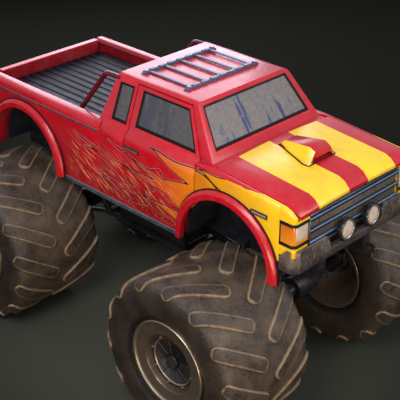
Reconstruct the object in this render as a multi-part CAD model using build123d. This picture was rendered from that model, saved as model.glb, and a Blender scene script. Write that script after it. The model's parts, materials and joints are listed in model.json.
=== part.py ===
from build123d import *
import math
import os

# Monster truck: pickup body on a tube-sprung chassis with four very large tyres. Millimetres.
# X runs forward, Y to the left, Z up; the origin is on the ground, midway between the axles.

os.makedirs("parts", exist_ok=True)

# ---- driving dimensions -------------------------------------------------------------------
WHEELBASE = 2932
WHEEL_Y = 1123            # centre plane of each wheel
AXLE_Z = 838
TYRE_R = 838              # over the lugs
TYRE_HALF_W = 552

SHUT = 12                 # shut line round a door, bonnet or tailgate
WALL = 60                 # cab wall, outer skin to trim
NOSE_REACH = 757          # front axle to the front face of the nose
TAIL_REACH = 666          # rear axle to the rear face of the bed

SILL_Z = 1622
SIDE_Y = 839              # outer half-width of the body below the belt
SILL_Y = 824
SIDE_TOP_Z = 2280         # the side leans in below this height
BELT_Z = 2428
BELT_Y = 757
GLASS_H = 462             # belt to roof
ROOF_Z = BELT_Z + GLASS_H
ROOF_Y = 622
REACH_Y = SIDE_Y + 61     # beyond every side panel
RAIL_Y0, RAIL_Y1 = 285, 375                   # inner and outer faces of the frame rail

FRONT_AXLE_X = WHEELBASE / 2
REAR_AXLE_X = -WHEELBASE / 2
CORNERS = {               # name: (x, side)
    "front_left": (FRONT_AXLE_X, 1),
    "front_right": (FRONT_AXLE_X, -1),
    "rear_left": (REAR_AXLE_X, 1),
    "rear_right": (REAR_AXLE_X, -1),
}
SIDES = {"left": 1, "right": -1}


def side_y(z):
    """Half-width of the body side at a height below SIDE_TOP_Z."""
    return SIDE_Y - (SIDE_Y - SILL_Y) * (SIDE_TOP_Z - z) / (SIDE_TOP_Z - SILL_Z)


# ---- shape helpers ------------------------------------------------------------------------
def block(x0, x1, y0, y1, z0, z1):
    return Pos((x0 + x1) / 2, (y0 + y1) / 2, (z0 + z1) / 2) * Box(abs(x1 - x0), abs(y1 - y0), abs(z1 - z0))


def outline(points):
    """Flat face in the sketch plane through the given corners."""
    return make_face(Polyline(*points, close=True))


def along_y(face, y0, y1):
    """Prism of a side view (x, z) from y0 to y1."""
    return extrude(Plane.XZ.offset(-y0) * face, amount=y1 - y0, dir=(0, 1, 0))


def along_x(face, x0, x1):
    """Prism of an end view (y, z) from x0 to x1."""
    return extrude(Plane.YZ.offset(x0) * face, amount=x1 - x0, dir=(1, 0, 0))


def along_z(face, z0, z1):
    """Prism of a plan view (x, y) from z0 to z1."""
    return extrude(Plane.XY.offset(z0) * face, amount=z1 - z0, dir=(0, 0, 1))


def both_sides(points):
    """Closed end view (y, z) from its right-hand half, listed from the bottom up."""
    return outline(points + [(-y, z) for y, z in reversed(points)])


def rod(start, end, radius, sides=10):
    """Bar from one point to another in flat facets, their corners at the radius."""
    run = Vector(*end) - Vector(*start)
    return extrude(Plane(origin=start, z_dir=run) * RegularPolygon(radius, sides), run.length)


def bore(start, end, radius, sides=16):
    """Tool for a faceted hole whose flats, not corners, are at the radius."""
    return rod(start, end, radius / math.cos(math.pi / sides), sides)


def turned(profile, sides, centre=(0, 0, 0)):
    """Ring turned about a Y axis in flat facets; profile is a closed list of (y, radius)."""
    rings = []
    for step in range(sides):
        angle = 2 * math.pi * (step + 0.5) / sides
        rings.append([(r * math.sin(angle), y, r * math.cos(angle)) for y, r in profile])
    faces = []
    for step in range(sides):
        here, there = rings[step], rings[(step + 1) % sides]
        for i in range(len(profile)):
            j = (i + 1) % len(profile)
            faces.append(Face(Wire.make_polygon([here[i], here[j], there[j], there[i]])))
    return Pos(*centre) * Solid(Shell(faces))


def mirrored(shape):
    """The same piece on the other side of the truck."""
    return mirror(shape, about=Plane.XZ)


def joined(pieces):
    pieces = list(pieces)
    return pieces[0].fuse(*pieces[1:]) if len(pieces) > 1 else pieces[0]


def pair(shape):
    """A left-hand piece and its mirror image as two solids of one node."""
    return Compound(children=[*solids_of(shape), *solids_of(mirrored(shape))])


def solids_of(shape):
    return list(shape.solids())


def save(name, *shapes):
    solids = [solid for shape in shapes for solid in solids_of(shape)]
    export_step(solids[0] if len(solids) == 1 else Compound(children=solids), f"parts/{name}.step")


# ---- tyres --------------------------------------------------------------------------------
LUGS_PER_ROW = 14
LUG_WIDTH = 97
LUG_SLANT = 30            # degrees from the wheel's axis; the centre ends lead
LUG_MIDDLE_Y = 270
LUG_END_Y = 28            # inner end of a bar, from the centre plane
LUG_POINT = 34            # length of its pointed inner end
RIM_R = 443
BEAD_PLAY = 1
TYRE_SIDES = 2 * LUGS_PER_ROW

bead_r = (RIM_R + BEAD_PLAY) / math.cos(math.pi / TYRE_SIDES)
# columns: y from the wheel's centre plane, radius
TYRE_HALF = [(455, 800), (531, 738), (490, bead_r)]
tyre_profile = TYRE_HALF + [(-y, r) for y, r in reversed(TYRE_HALF)]
LUG_SHOULDER_Y = 488
lug_slope = math.tan(math.radians(LUG_SLANT))
lug_half = LUG_WIDTH / 2 / math.cos(math.radians(LUG_SLANT))
lug_far_x = (LUG_SHOULDER_Y - LUG_MIDDLE_Y) * lug_slope + lug_half
lug_top_r = math.sqrt(TYRE_R ** 2 - lug_far_x ** 2)     # the flat top's far corners reach TYRE_R
# columns: y, radius of the bar's crest from the centre out over the shoulder to its foot
LUG_CREST = [(0, lug_top_r), (LUG_SHOULDER_Y, lug_top_r), (TYRE_HALF_W, 745), (505, 640)]


def lug():
    """One bar at the top of the wheel, right-hand row; the middle of its length is at x = 0."""
    def at(y, across):
        return ((LUG_MIDDLE_Y - y) * lug_slope + across * lug_half, y)
    tip, outer = LUG_END_Y, TYRE_HALF_W + 30
    plan = outline([at(tip, 0), at(tip + LUG_POINT, -1), at(outer, -1), at(outer, 1), at(tip + LUG_POINT, 1)])
    side = outline([(0, 640), *LUG_CREST])
    return along_z(plan, 620, TYRE_R + 20) & along_x(side, -400, 400)


def tyre():
    bar = lug()
    other = mirrored(bar)
    bars = []
    for place in range(LUGS_PER_ROW):
        turn = 360 * place / LUGS_PER_ROW
        bars.append(Rot(0, turn, 0) * bar)
        bars.append(Rot(0, turn + 180 / LUGS_PER_ROW, 0) * other)
    return turned(tyre_profile, TYRE_SIDES).fuse(*bars)


the_tyre = tyre()
for corner, (x, side) in CORNERS.items():
    save(f"tyre_{corner}", Pos(x, side * WHEEL_Y, AXLE_Z) * the_tyre)

# ---- rims ---------------------------------------------------------------------------------
RIM_SIDES = 24
SPINDLE_R = 60
SPINDLE_PLAY = 0.3
HUB_FACE = 425            # outer face of the disc, from the wheel's centre plane
HUB_DISC_R = 272
HUB_THICK = 50
spindle_bore = (SPINDLE_R + SPINDLE_PLAY) / math.cos(math.pi / RIM_SIDES)
# columns: y from the wheel's centre plane, radius; outer side first, then back along the barrel
RIM_PROFILE = [
    (-498, RIM_R), (512, RIM_R), (512, 424), (496, 410), (496, 292), (HUB_FACE, HUB_DISC_R),
    (HUB_FACE, spindle_bore), (HUB_FACE - HUB_THICK, spindle_bore), (HUB_FACE - HUB_THICK, 300),
    (440, 404), (-498, 404),
]
the_rim = turned(RIM_PROFILE, RIM_SIDES)
for corner, (x, side) in CORNERS.items():
    rim = the_rim if side > 0 else mirrored(the_rim)
    save(f"rim_{corner}", Pos(x, side * WHEEL_Y, AXLE_Z) * rim)

# ---- body outlines ------------------------------------------------------------------------
# Wheel arch: a half circle in short chords on straight legs, centred a little behind its wheel.
ARCH_SHIFT = -32
ARCH_Z = 1640
ARCH_INNER = 545          # reach of the opening
ARCH_OUTER = 632          # reach of the flare's outer edge
ARCH_FOOT = 40            # the flare's legs go this far below the arch's centre
ARCH_CHORDS = 18
HOUSE_T = 12              # sheet of the inner arch
ARCHES = {"front": FRONT_AXLE_X + ARCH_SHIFT, "rear": REAR_AXLE_X + ARCH_SHIFT}


def arch(centre_x, reach, foot=ARCH_FOOT, chords=ARCH_CHORDS):
    """Arch outline (x, z), open end down."""
    bow = []
    for step in range(chords + 1):
        angle = math.pi * step / chords
        bow.append((centre_x - reach * math.cos(angle), ARCH_Z + reach * math.sin(angle)))
    return outline([(centre_x - reach, ARCH_Z - foot), *bow, (centre_x + reach, ARCH_Z - foot)])


# Cab side view, from the rear foot forward: columns x, z
COWL_X = FRONT_AXLE_X - 190
TOE_BOARD_X = COWL_X - 406
COWL_Z = BELT_Z + 12
SCREEN_FOOT = (COWL_X - 90, COWL_Z)
SCREEN_HEAD = (COWL_X - 420, ROOF_Z)
REAR_HEAD = (-199, ROOF_Z)
CAB_REAR_X = -282
REAR_BELT = (CAB_REAR_X - 63, BELT_Z - 14)
TOE_RISE = COWL_X - 62 - TOE_BOARD_X          # the toe board slopes at 45 degrees, clear of the inner arch
COWL_LOW_Z = ARCH_Z + math.sqrt(2) * (ARCH_INNER + HOUSE_T + 5) + COWL_X - 62 - ARCHES["front"]
CAB_SIDE = [
    (CAB_REAR_X, SILL_Z), (TOE_BOARD_X, SILL_Z), (TOE_BOARD_X, COWL_LOW_Z - TOE_RISE),
    (COWL_X - 62, COWL_LOW_Z), (COWL_X, COWL_LOW_Z), (COWL_X, COWL_Z), SCREEN_FOOT, SCREEN_HEAD,
    REAR_HEAD, REAR_BELT, (CAB_REAR_X, REAR_BELT[1]),
]
# Cab end view, right-hand half from the bottom up: columns y, z
CAB_END = [
    (SILL_Y, SILL_Z), (SIDE_Y, SIDE_TOP_Z), (SIDE_Y - 8, BELT_Z - 96), (SIDE_Y - 39, BELT_Z - 36),
    (BELT_Y, BELT_Z), (ROOF_Y + 4, ROOF_Z - 34), (ROOF_Y - 18, ROOF_Z - 10), (ROOF_Y - 62, ROOF_Z),
]


def inset(face, depth):
    return offset(face, amount=-depth, kind=Kind.INTERSECTION) if depth else face


def cab_form(depth):
    """The cab's closed form, drawn in by a depth on every face."""
    side = along_y(inset(outline(CAB_SIDE), depth), -REACH_Y, REACH_Y)
    end = along_x(inset(both_sides(CAB_END), depth), CAB_REAR_X - 200, COWL_X + 100)
    return side & end


DOOR_REAR_X = 78
DOOR_FRONT_X = COWL_X - 248
DOOR_FOOT_Z = SILL_Z + 72
DOOR_TOP_Z = ROOF_Z - 40
PANE_TOP_Z = ROOF_Z - 72
PANE_LOW_Z = BELT_Z + 38
DOOR_SIDE = [
    (DOOR_REAR_X, DOOR_FOOT_Z), (DOOR_REAR_X, BELT_Z + 12), (DOOR_REAR_X + 22, DOOR_TOP_Z),
    (DOOR_FRONT_X - 216, DOOR_TOP_Z), (DOOR_FRONT_X - 20, BELT_Z + 40), (DOOR_FRONT_X, BELT_Z + 12),
    (DOOR_FRONT_X, DOOR_FOOT_Z),
]
DOOR_PANE = [
    (DOOR_REAR_X + 95, PANE_TOP_Z), (DOOR_FRONT_X - 242, PANE_TOP_Z), (DOOR_FRONT_X - 60, PANE_LOW_Z),
    (DOOR_REAR_X + 72, PANE_LOW_Z),
]
QUARTER_PANE = [
    (-152, PANE_TOP_Z), (DOOR_REAR_X - 28, PANE_TOP_Z), (DOOR_REAR_X - 52, BELT_Z + 24), (-186, BELT_Z + 24),
]
SCREEN_PANE = [(BELT_Y - 101, COWL_Z + 72), (ROOF_Y - 52, ROOF_Z - 40)]      # end view, right-hand half
REAR_PANE = [(BELT_Y - 197, BELT_Z + 72), (ROOF_Y - 122, ROOF_Z - 90)]
PANE_DEPTH = 14           # outer face of the glass below the outer skin
PANE_THICK = 8

cab_outer = cab_form(0)
cab_inner = cab_form(WALL)
pane_outer = cab_form(PANE_DEPTH)
pane_inner = cab_form(PANE_DEPTH + PANE_THICK)
pane_layer = pane_outer - pane_inner


def door_cut(grow):
    """Door outline (x, z) grown by a clearance, less the corner that the front arch takes."""
    face = outline(DOOR_SIDE)
    face = offset(face, amount=grow, kind=Kind.INTERSECTION) if grow else face
    notch = arch(ARCHES["front"], ARCH_OUTER + SHUT - grow, foot=200)
    return face - notch


DOOR_ROOT_Y = 575         # the roof's own width between the door tops
screen_prism = along_x(both_sides(SCREEN_PANE), SCREEN_HEAD[0] + 4, COWL_X + 24)
rear_prism = along_x(both_sides(REAR_PANE), REAR_BELT[0] - 75, REAR_HEAD[0] + 99)
quarter_prism = along_y(outline(QUARTER_PANE), -REACH_Y, REACH_Y)


def cab_shell():
    shell = cab_outer - cab_inner
    openings = along_y(door_cut(SHUT), DOOR_ROOT_Y, REACH_Y)
    shell = shell - openings - mirrored(openings)
    shell = shell - screen_prism - rear_prism - quarter_prism
    wing_room = block(DOOR_FRONT_X + SHUT, COWL_X + 100, SIDE_Y - WALL, REACH_Y, SILL_Z - 100, BELT_Z)
    arch_room = along_y(arch(ARCHES["front"], ARCH_OUTER, foot=200), SIDE_Y - WALL, REACH_Y)
    room = wing_room + arch_room
    return shell - room - mirrored(room)


save("cab_shell", cab_shell())

# ---- glass --------------------------------------------------------------------------------
save("windscreen", pane_layer & screen_prism)
save("rear_window", pane_layer & rear_prism)
save("quarter_windows", pane_layer & quarter_prism)

# ---- doors --------------------------------------------------------------------------------
DOOR_FLANGE = 24          # outer skin that closes over the opening
DOOR_LAND = 26            # the inner panel is this much smaller all round
HANDLE_L, HANDLE_H = 211, 40
HANDLE_Z = SIDE_TOP_Z - 54                    # lower edge of the handle
HANDLE_OUT = 16


def door():
    outer = (cab_outer - cab_form(DOOR_FLANGE)) & along_y(door_cut(0), DOOR_ROOT_Y, REACH_Y)
    inner = (cab_form(DOOR_FLANGE) - cab_inner) & along_y(door_cut(-DOOR_LAND), DOOR_ROOT_Y, REACH_Y)
    leaf = outer + inner
    leaf = leaf - along_y(outline(DOOR_PANE), DOOR_ROOT_Y - 20, REACH_Y)
    x = DOOR_REAR_X + 9
    handle = block(x, x + HANDLE_L, SIDE_Y - 12, SIDE_Y + HANDLE_OUT, HANDLE_Z, HANDLE_Z + HANDLE_H)
    grip = block(x + 20, x + HANDLE_L - 20, SIDE_Y + 4, REACH_Y, HANDLE_Z - 5, HANDLE_Z + 14)
    return leaf + (handle - grip)


left_door = door()
left_pane = pane_layer & along_y(outline(DOOR_PANE), DOOR_ROOT_Y - 75, REACH_Y)
save("door_left", left_door)
save("door_right", mirrored(left_door))
save("door_glass_left", left_pane)
save("door_glass_right", mirrored(left_pane))

# ---- bonnet -------------------------------------------------------------------------------
NOSE_X = FRONT_AXLE_X + NOSE_REACH            # front face of the truck
BONNET_THICK = 28
BONNET_HALF = SIDE_Y - 52
BONNET_REAR_Z = BELT_Z + 21
BONNET_CHORDS = 8
# The last rows roll the leading edge down to the grille. Columns: x, half-width, edge height, crown.
BONNET_SECTIONS = [
    (COWL_X + 8, BONNET_HALF, BONNET_REAR_Z, 38),
    (NOSE_X - 123, BONNET_HALF, BONNET_REAR_Z - 63, 34),
    (NOSE_X - 55, BONNET_HALF - 2, BONNET_REAR_Z - 88, 28),
    (NOSE_X, BONNET_HALF - 24, BONNET_REAR_Z - 133, 16),
]


def crown_strip(x, half, z, crown, drop, thick):
    """End view of a crowned strip, its top surface `drop` below the outer one."""
    top = []
    for step in range(BONNET_CHORDS + 1):
        share = 2 * step / BONNET_CHORDS - 1
        top.append((share * half, z - drop + crown * (1 - share ** 2)))
    low = [(y, height - thick) for y, height in reversed(top)]
    return Plane.YZ.offset(x) * outline(top + low)


def bonnet_z(x):
    """Height of the bonnet's crown line over its rear slope."""
    (xa, _, za, ca), (xb, _, zb, cb) = BONNET_SECTIONS[:2]
    part = (x - xa) / (xb - xa)
    return za + part * (zb - za) + (ca + part * (cb - ca))


bonnet_skin = loft([crown_strip(*row, 0, BONNET_THICK) for row in BONNET_SECTIONS], ruled=True)
SCOOP_FRONT_X = NOSE_X - 400
SCOOP_WALL = 14
# Columns: distance behind the scoop's mouth, half-width at the foot, half-width at the top, height.
SCOOP_SECTIONS = [(438, 84, 64, 6), (370, 104, 77, 66), (60, 196, 106, 136), (0, 186, 104, 112)]


def scoop():
    """Raised air scoop: narrow and low at the rear, flared flanks, open mouth facing forward."""
    def section(behind, foot, top, height, wall):
        x = SCOOP_FRONT_X - behind
        base = bonnet_z(x) - 10
        rim = [(foot - 1.6 * wall, base), (top - wall, base + 10 + height - wall)]
        return Plane.YZ.offset(x) * both_sides(rim)
    hood = loft([section(*row, 0) for row in SCOOP_SECTIONS], ruled=True)
    (behind, *rear), front = SCOOP_SECTIONS[1], SCOOP_SECTIONS[-1]
    throat = loft([section(behind, *rear, SCOOP_WALL), section(*SCOOP_SECTIONS[2], SCOOP_WALL)], ruled=True)
    mouth = loft([section(*SCOOP_SECTIONS[2], SCOOP_WALL), section(-1, *front[1:], SCOOP_WALL)], ruled=True)
    bonnet_top = loft([crown_strip(*row, -1, 60) for row in BONNET_SECTIONS], ruled=True)
    return hood - ((throat + mouth) - bonnet_top)


save("bonnet", bonnet_skin + scoop())

# ---- front wings --------------------------------------------------------------------------
NOSE_SEAM_X = NOSE_X - 171                    # wing to nose panel
FASCIA_LOW_Z = 1923
WING_EDGE_Y = BONNET_HALF + SHUT
WING_LOW_Z = ARCH_Z - ARCH_FOOT
WING_TOP_Z = BONNET_REAR_Z + 1
WING_END = [
    (SIDE_Y - WALL, WING_LOW_Z), (side_y(WING_LOW_Z), WING_LOW_Z), (SIDE_Y, SIDE_TOP_Z), (SIDE_Y, WING_TOP_Z + 30),
    (SIDE_Y - WALL, WING_TOP_Z + 30),
]
# Rolled shoulder of the wings and the nose. Columns: in from SIDE_Y, drop below the bonnet's edge.
SHOULDER = [(0, 42), (6, 20), (18, 6), (SIDE_Y - WING_EDGE_Y, 0)]
WING_TOP = [
    (DOOR_FRONT_X + SHUT, BELT_Z), (DOOR_FRONT_X + 32, COWL_Z), (COWL_X, COWL_Z + 12),
    (NOSE_SEAM_X, BONNET_REAR_Z - 50),
]


def shoulder_form():
    """Solid as wide as the truck whose top follows the bonnet's edge and rolls over to the sides."""
    edge = [(x, z) for x, _, z, _ in BONNET_SECTIONS]
    (xa, za), (xb, zb) = edge[:2]
    behind, ahead = 300, 20
    edge = [(xa - behind, za + behind * (za - zb) / (xb - xa)), *edge, (NOSE_X + ahead, edge[-1][1] - ahead)]
    ends = []
    for x, z in edge:
        rolled = [(SIDE_Y - inward, z - drop) for inward, drop in SHOULDER]
        ends.append(Plane.YZ.offset(x) * both_sides([(SIDE_Y, SILL_Z - 100), *rolled]))
    return loft(ends, ruled=True)


rolled_top = shoulder_form()


def front_wing():
    chin = [(NOSE_SEAM_X, FASCIA_LOW_Z), (ARCHES["front"] + ARCH_OUTER, FASCIA_LOW_Z)]
    feet = [(ARCHES["front"] + ARCH_OUTER, ARCH_Z), (DOOR_FRONT_X + SHUT, ARCH_Z)]
    side_view = outline([*WING_TOP, *chin, *feet])
    view = side_view + arch(ARCHES["front"], ARCH_OUTER)
    view = view - arch(ARCHES["front"], ARCH_INNER, foot=200)
    (xa, _, za, _), (xb, _, zb, _) = BONNET_SECTIONS[:2]
    under = BONNET_THICK + SHUT
    over = WING_TOP_Z + 100
    bonnet_side = outline([(COWL_X, za - under), (xb, zb - under), (xb, over), (COWL_X, over)])
    wing_bar = along_x(outline(WING_END), ARCHES["front"] - ARCH_OUTER - 50, NOSE_SEAM_X)
    wing = wing_bar & along_y(view, SIDE_Y - WALL - 10, REACH_Y) & rolled_top
    return wing - along_y(bonnet_side, 0, WING_EDGE_Y)


save("front_wings", pair(front_wing()))

# ---- nose: fascia, grille, lamps ----------------------------------------------------------
FASCIA_DEEP = 60
NOSE_CORNER = 46
BONNET_LIP_Z = BONNET_SECTIONS[-1][2] - BONNET_THICK - SHUT
GRILLE_HALF = 640
GRILLE_LOW_Z = FASCIA_LOW_Z + 39
GRILLE_TOP_Z = BONNET_LIP_Z + 8
LAMP_LOW_Z, LAMP_TOP_Z = GRILLE_LOW_Z + 45, GRILLE_TOP_Z - 42
LAMP_IN_Y = GRILLE_HALF + 12


def nose_form(depth):
    """Plan of the nose with rounded corners, drawn in by a depth."""
    half, front = SIDE_Y - depth, NOSE_X - depth
    plan = outline([(NOSE_SEAM_X, -half), (front, -half), (front, half), (NOSE_SEAM_X, half)])
    return fillet([v for v in plan.vertices() if v.X > front - 1], NOSE_CORNER)


def nose_ring(depth, z0, z1):
    return along_z(nose_form(depth), z0, z1) - along_z(nose_form(FASCIA_DEEP), z0, z1)


def fascia():
    ring = nose_ring(0, FASCIA_LOW_Z, BONNET_REAR_Z) & rolled_top
    x0, x1 = NOSE_SEAM_X - 150, NOSE_X + 100
    bonnet_room = block(x0, x1, -WING_EDGE_Y, WING_EDGE_Y, BONNET_LIP_Z, BONNET_REAR_Z)
    grille_room = block(x0, x1, -GRILLE_HALF, GRILLE_HALF, GRILLE_LOW_Z, BONNET_REAR_Z)
    lamp_room = block(NOSE_SEAM_X + 10, x1, LAMP_IN_Y, REACH_Y, LAMP_LOW_Z, LAMP_TOP_Z)
    return ring - bonnet_room - grille_room - lamp_room - mirrored(lamp_room)


save("fascia", fascia())

BARS_Z = [GRILLE_LOW_Z + step for step in (43, 155, 272)]     # centre height of each bright bar
BAR_HALF_Z = 17
GRILLE_BACK_X = NOSE_X - 63
GRILLE_BACK_T = 8
MESH_STRIPS = 8
MESH_HALF_Y = 6


def grille():
    """Back plate in the fascia's opening, upright strips before it and bright bars across them."""
    half, low, top = GRILLE_HALF, GRILLE_LOW_Z, GRILLE_TOP_Z
    pieces = [block(GRILLE_BACK_X, GRILLE_BACK_X + GRILLE_BACK_T, -half, half, low, top)]
    plate_x = GRILLE_BACK_X + GRILLE_BACK_T / 2
    for z in BARS_Z:
        pieces.append(block(plate_x, NOSE_X + 8, -half, half, z - BAR_HALF_Z, z + BAR_HALF_Z))
    pitch = 2 * half / MESH_STRIPS
    for strip in range(1, MESH_STRIPS):
        y = strip * pitch - half
        pieces.append(block(plate_x, NOSE_X - 22, y - MESH_HALF_Y, y + MESH_HALF_Y, low, top))
    return joined(pieces)


save("grille", grille())

LAMP_FRAME = 14
LENS_OUT_Y = 790


def headlamp():
    """Lamp body round the nose's corner, with a sunk square reflector behind its front lens."""
    room = block(NOSE_SEAM_X + 10, NOSE_X + 100, LAMP_IN_Y, REACH_Y, LAMP_LOW_Z, LAMP_TOP_Z)
    form = nose_ring(2, LAMP_LOW_Z, LAMP_TOP_Z) & room
    def lens_square(depth, edge):
        y0, y1 = LAMP_IN_Y + LAMP_FRAME + edge, LENS_OUT_Y - edge
        z0, z1 = LAMP_LOW_Z + 76 + edge, LAMP_TOP_Z - LAMP_FRAME - edge
        return Plane.YZ.offset(NOSE_X - depth) * outline([(y0, z0), (y1, z0), (y1, z1), (y0, z1)])
    return form - loft([lens_square(1, 0), lens_square(34, 22)])


save("headlamps", pair(headlamp()))

# ---- front bumper and spot lamps ----------------------------------------------------------
BUMPER_X1 = NOSE_X + 39
BUMPER_BACK_X = NOSE_X - 63
BUMPER_SIDE_X = NOSE_SEAM_X + 20
BUMPER_END_Y = SIDE_Y + 15
BUMPER_CORNER = 64
BUMPER_T = 45
BUMPER_CAP_Y = 420        # inner end of a cap along its top edge
BUMPER_STEP_Y = 354       # inner end of a cap where it meets the bar
BUMPER_LOW_Z = FASCIA_LOW_Z - 141
BUMPER_BAR_Z = FASCIA_LOW_Z - 60
BUMPER_CAP_Z = FASCIA_LOW_Z + 77
BUMPER_GROOVES = [22, 48]                     # heights of the bar's grooves over its lower edge


def front_bumper():
    """Low grooved bar across the truck with a tall cap at each end that wraps onto the side."""
    inner_y = BUMPER_END_Y - BUMPER_T
    bar_plan = outline([
        (BUMPER_BACK_X, 0), (BUMPER_X1, 0), (BUMPER_X1, BUMPER_END_Y - BUMPER_CORNER),
        (BUMPER_X1 - BUMPER_CORNER, BUMPER_END_Y), (BUMPER_SIDE_X, BUMPER_END_Y), (BUMPER_SIDE_X, inner_y),
        (BUMPER_BACK_X, inner_y),
    ])
    cap_view = outline([
        (BUMPER_STEP_Y, BUMPER_LOW_Z), (REACH_Y, BUMPER_LOW_Z), (REACH_Y, BUMPER_CAP_Z),
        (BUMPER_CAP_Y, BUMPER_CAP_Z), (BUMPER_STEP_Y, BUMPER_BAR_Z),
    ])
    bar = along_z(bar_plan, BUMPER_LOW_Z, BUMPER_BAR_Z)
    for height in BUMPER_GROOVES:
        z = BUMPER_LOW_Z + height
        bar = bar - block(BUMPER_X1 - 10, BUMPER_X1 + 1, 0, BUMPER_STEP_Y, z, z + 9)
    cap = along_z(bar_plan, BUMPER_BAR_Z, BUMPER_CAP_Z) & along_x(cap_view, BUMPER_SIDE_X - 10, BUMPER_X1 + 10)
    side_cut = outline([
        (BUMPER_SIDE_X, FASCIA_LOW_Z - 18), (BUMPER_SIDE_X + 83, BUMPER_CAP_Z), (BUMPER_SIDE_X, BUMPER_CAP_Z),
    ])
    nose_room = along_z(nose_form(-SHUT), FASCIA_LOW_Z, BUMPER_CAP_Z + 10)
    cap = cap - nose_room - along_y(side_cut, SIDE_Y - 200, REACH_Y)
    half = bar + cap
    return half + mirrored(half)


save("front_bumper", front_bumper())

SPOT_Y = 185
SPOT_R = 104
SPOT_Z = BUMPER_BAR_Z + 127
SPOT_X1 = NOSE_X + 79
SPOT_SIDES = 16
# columns: distance behind the front rim, radius
SPOT_PROFILE = [(-66, 58), (-24, SPOT_R), (0, SPOT_R), (0, 84), (-14, 80), (-14, 4), (-66, 4)]


def spot_lamp():
    lamp = Pos(SPOT_X1, SPOT_Y, SPOT_Z) * Rot(0, 0, -90) * turned(SPOT_PROFILE, SPOT_SIDES)
    stem_x = (BUMPER_BACK_X + BUMPER_X1) / 2 + 30
    return lamp + block(stem_x, stem_x + 18, SPOT_Y - 18, SPOT_Y + 18, BUMPER_BAR_Z, SPOT_Z - 50)


save("spot_lamps", pair(spot_lamp()))

# ---- flares, side strips, markers ---------------------------------------------------------
FLARE_OUT = 52
FLARE_CHAMFER = 30
FLARE_ROOT_Y = SILL_Y - 40
below_sill = SILL_Z - 200
body_side = [(0, below_sill), (side_y(below_sill), below_sill), (SIDE_Y, SIDE_TOP_Z), (SIDE_Y, ROOF_Z), (0, ROOF_Z)]


def flare(centre_x):
    """Arch lip with a chamfered outer edge, seated on the leaning body side."""
    ring = arch(centre_x, ARCH_OUTER) - arch(centre_x, ARCH_INNER, foot=200)
    crown = arch(centre_x, ARCH_OUTER - FLARE_CHAMFER) - arch(centre_x, ARCH_INNER, foot=200)
    out_y = SIDE_Y + FLARE_OUT
    lip = along_y(ring, FLARE_ROOT_Y, out_y - FLARE_CHAMFER)
    slope = loft([
        Plane.XZ.offset(FLARE_CHAMFER - out_y) * arch(centre_x, ARCH_OUTER),
        Plane.XZ.offset(-out_y) * arch(centre_x, ARCH_OUTER - FLARE_CHAMFER),
    ], ruled=True)
    slope = slope - along_y(arch(centre_x, ARCH_INNER, foot=200), FLARE_ROOT_Y, REACH_Y)
    return (lip + slope) - along_x(outline(body_side), centre_x - 900, centre_x + 900)


for end, centre_x in ARCHES.items():
    save(f"flares_{end}", pair(flare(centre_x)))

STRIP_PLAY = 4
STRIP_OUT = 14
SILL_X0 = ARCHES["rear"] + ARCH_OUTER + STRIP_PLAY
SILL_X1 = ARCHES["front"] - ARCH_OUTER - STRIP_PLAY
save("sill_strips", pair(block(SILL_X0, SILL_X1, SILL_Y - 40, SILL_Y + STRIP_OUT, SILL_Z - 44, SILL_Z)))

MARKER_X, MARKER_L, MARKER_H = FRONT_AXLE_X + 266, 187, 38
MARKER_Z = SIDE_TOP_Z - 76                    # its lower edge
marker = block(MARKER_X, MARKER_X + MARKER_L, SIDE_Y - 20, SIDE_Y + STRIP_OUT, MARKER_Z, MARKER_Z + MARKER_H)
marker = marker - along_x(outline(body_side), MARKER_X - 10, MARKER_X + MARKER_L + 10)
save("side_markers", pair(marker))

# ---- load bed -----------------------------------------------------------------------------
BED_X0 = REAR_AXLE_X - TAIL_REACH
BED_X1 = CAB_REAR_X
BED_TOP_Z = BELT_Z - 18
BED_FLOOR_Z = 2265
BED_FLOOR_T = 50
RAIL_W = 144
TAILGATE_T = 73
BULKHEAD_T = 91
BED_LOW_Z = ARCH_Z - ARCH_FOOT
bed_in_y = SIDE_Y - RAIL_W
BED_END = [
    (bed_in_y, BED_LOW_Z), (side_y(BED_LOW_Z), BED_LOW_Z), (SIDE_Y, SIDE_TOP_Z), (SIDE_Y, BED_TOP_Z - 50),
    (SIDE_Y - 15, BED_TOP_Z - 15), (SIDE_Y - 50, BED_TOP_Z), (bed_in_y + 30, BED_TOP_Z),
    (bed_in_y, BED_TOP_Z - 30),
]
bed_floor_x0 = BED_X0 + TAILGATE_T + SHUT


def cargo_bed():
    sides = outline([
        (BED_X0, SILL_Z + 168), (ARCHES["rear"] - ARCH_OUTER + 60, SILL_Z + 78), (ARCHES["rear"], SILL_Z),
        (BED_X1, SILL_Z), (BED_X1, BED_TOP_Z), (BED_X0, BED_TOP_Z),
    ])
    side_view = sides + arch(ARCHES["rear"], ARCH_OUTER) - arch(ARCHES["rear"], ARCH_INNER, foot=200)
    wall = along_x(outline(BED_END), BED_X0, BED_X1) & along_y(side_view, bed_in_y - 10, REACH_Y)
    floor = block(bed_floor_x0, BED_X1, -bed_in_y, bed_in_y, BED_FLOOR_Z - BED_FLOOR_T, BED_FLOOR_Z)
    bulkhead = block(BED_X1 - BULKHEAD_T, BED_X1, -bed_in_y, bed_in_y, SILL_Z, BED_TOP_Z)
    rear_sill = block(bed_floor_x0 + 7, bed_floor_x0 + 57, -bed_in_y, bed_in_y, SILL_Z + 78, BED_FLOOR_Z)
    house_room = along_y(arch(ARCHES["rear"], ARCH_INNER + HOUSE_T), RAIL_Y1 - HOUSE_T, bed_in_y)
    rear_sill = rear_sill - house_room - mirrored(house_room)
    return joined([wall, mirrored(wall), floor, bulkhead, rear_sill])


save("cargo_bed", cargo_bed())

LINER_RIBS = 13
LINER_RIB_W = 52
LINER_PLATE_T = 6
LINER_Z = BED_FLOOR_Z + 14


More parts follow.
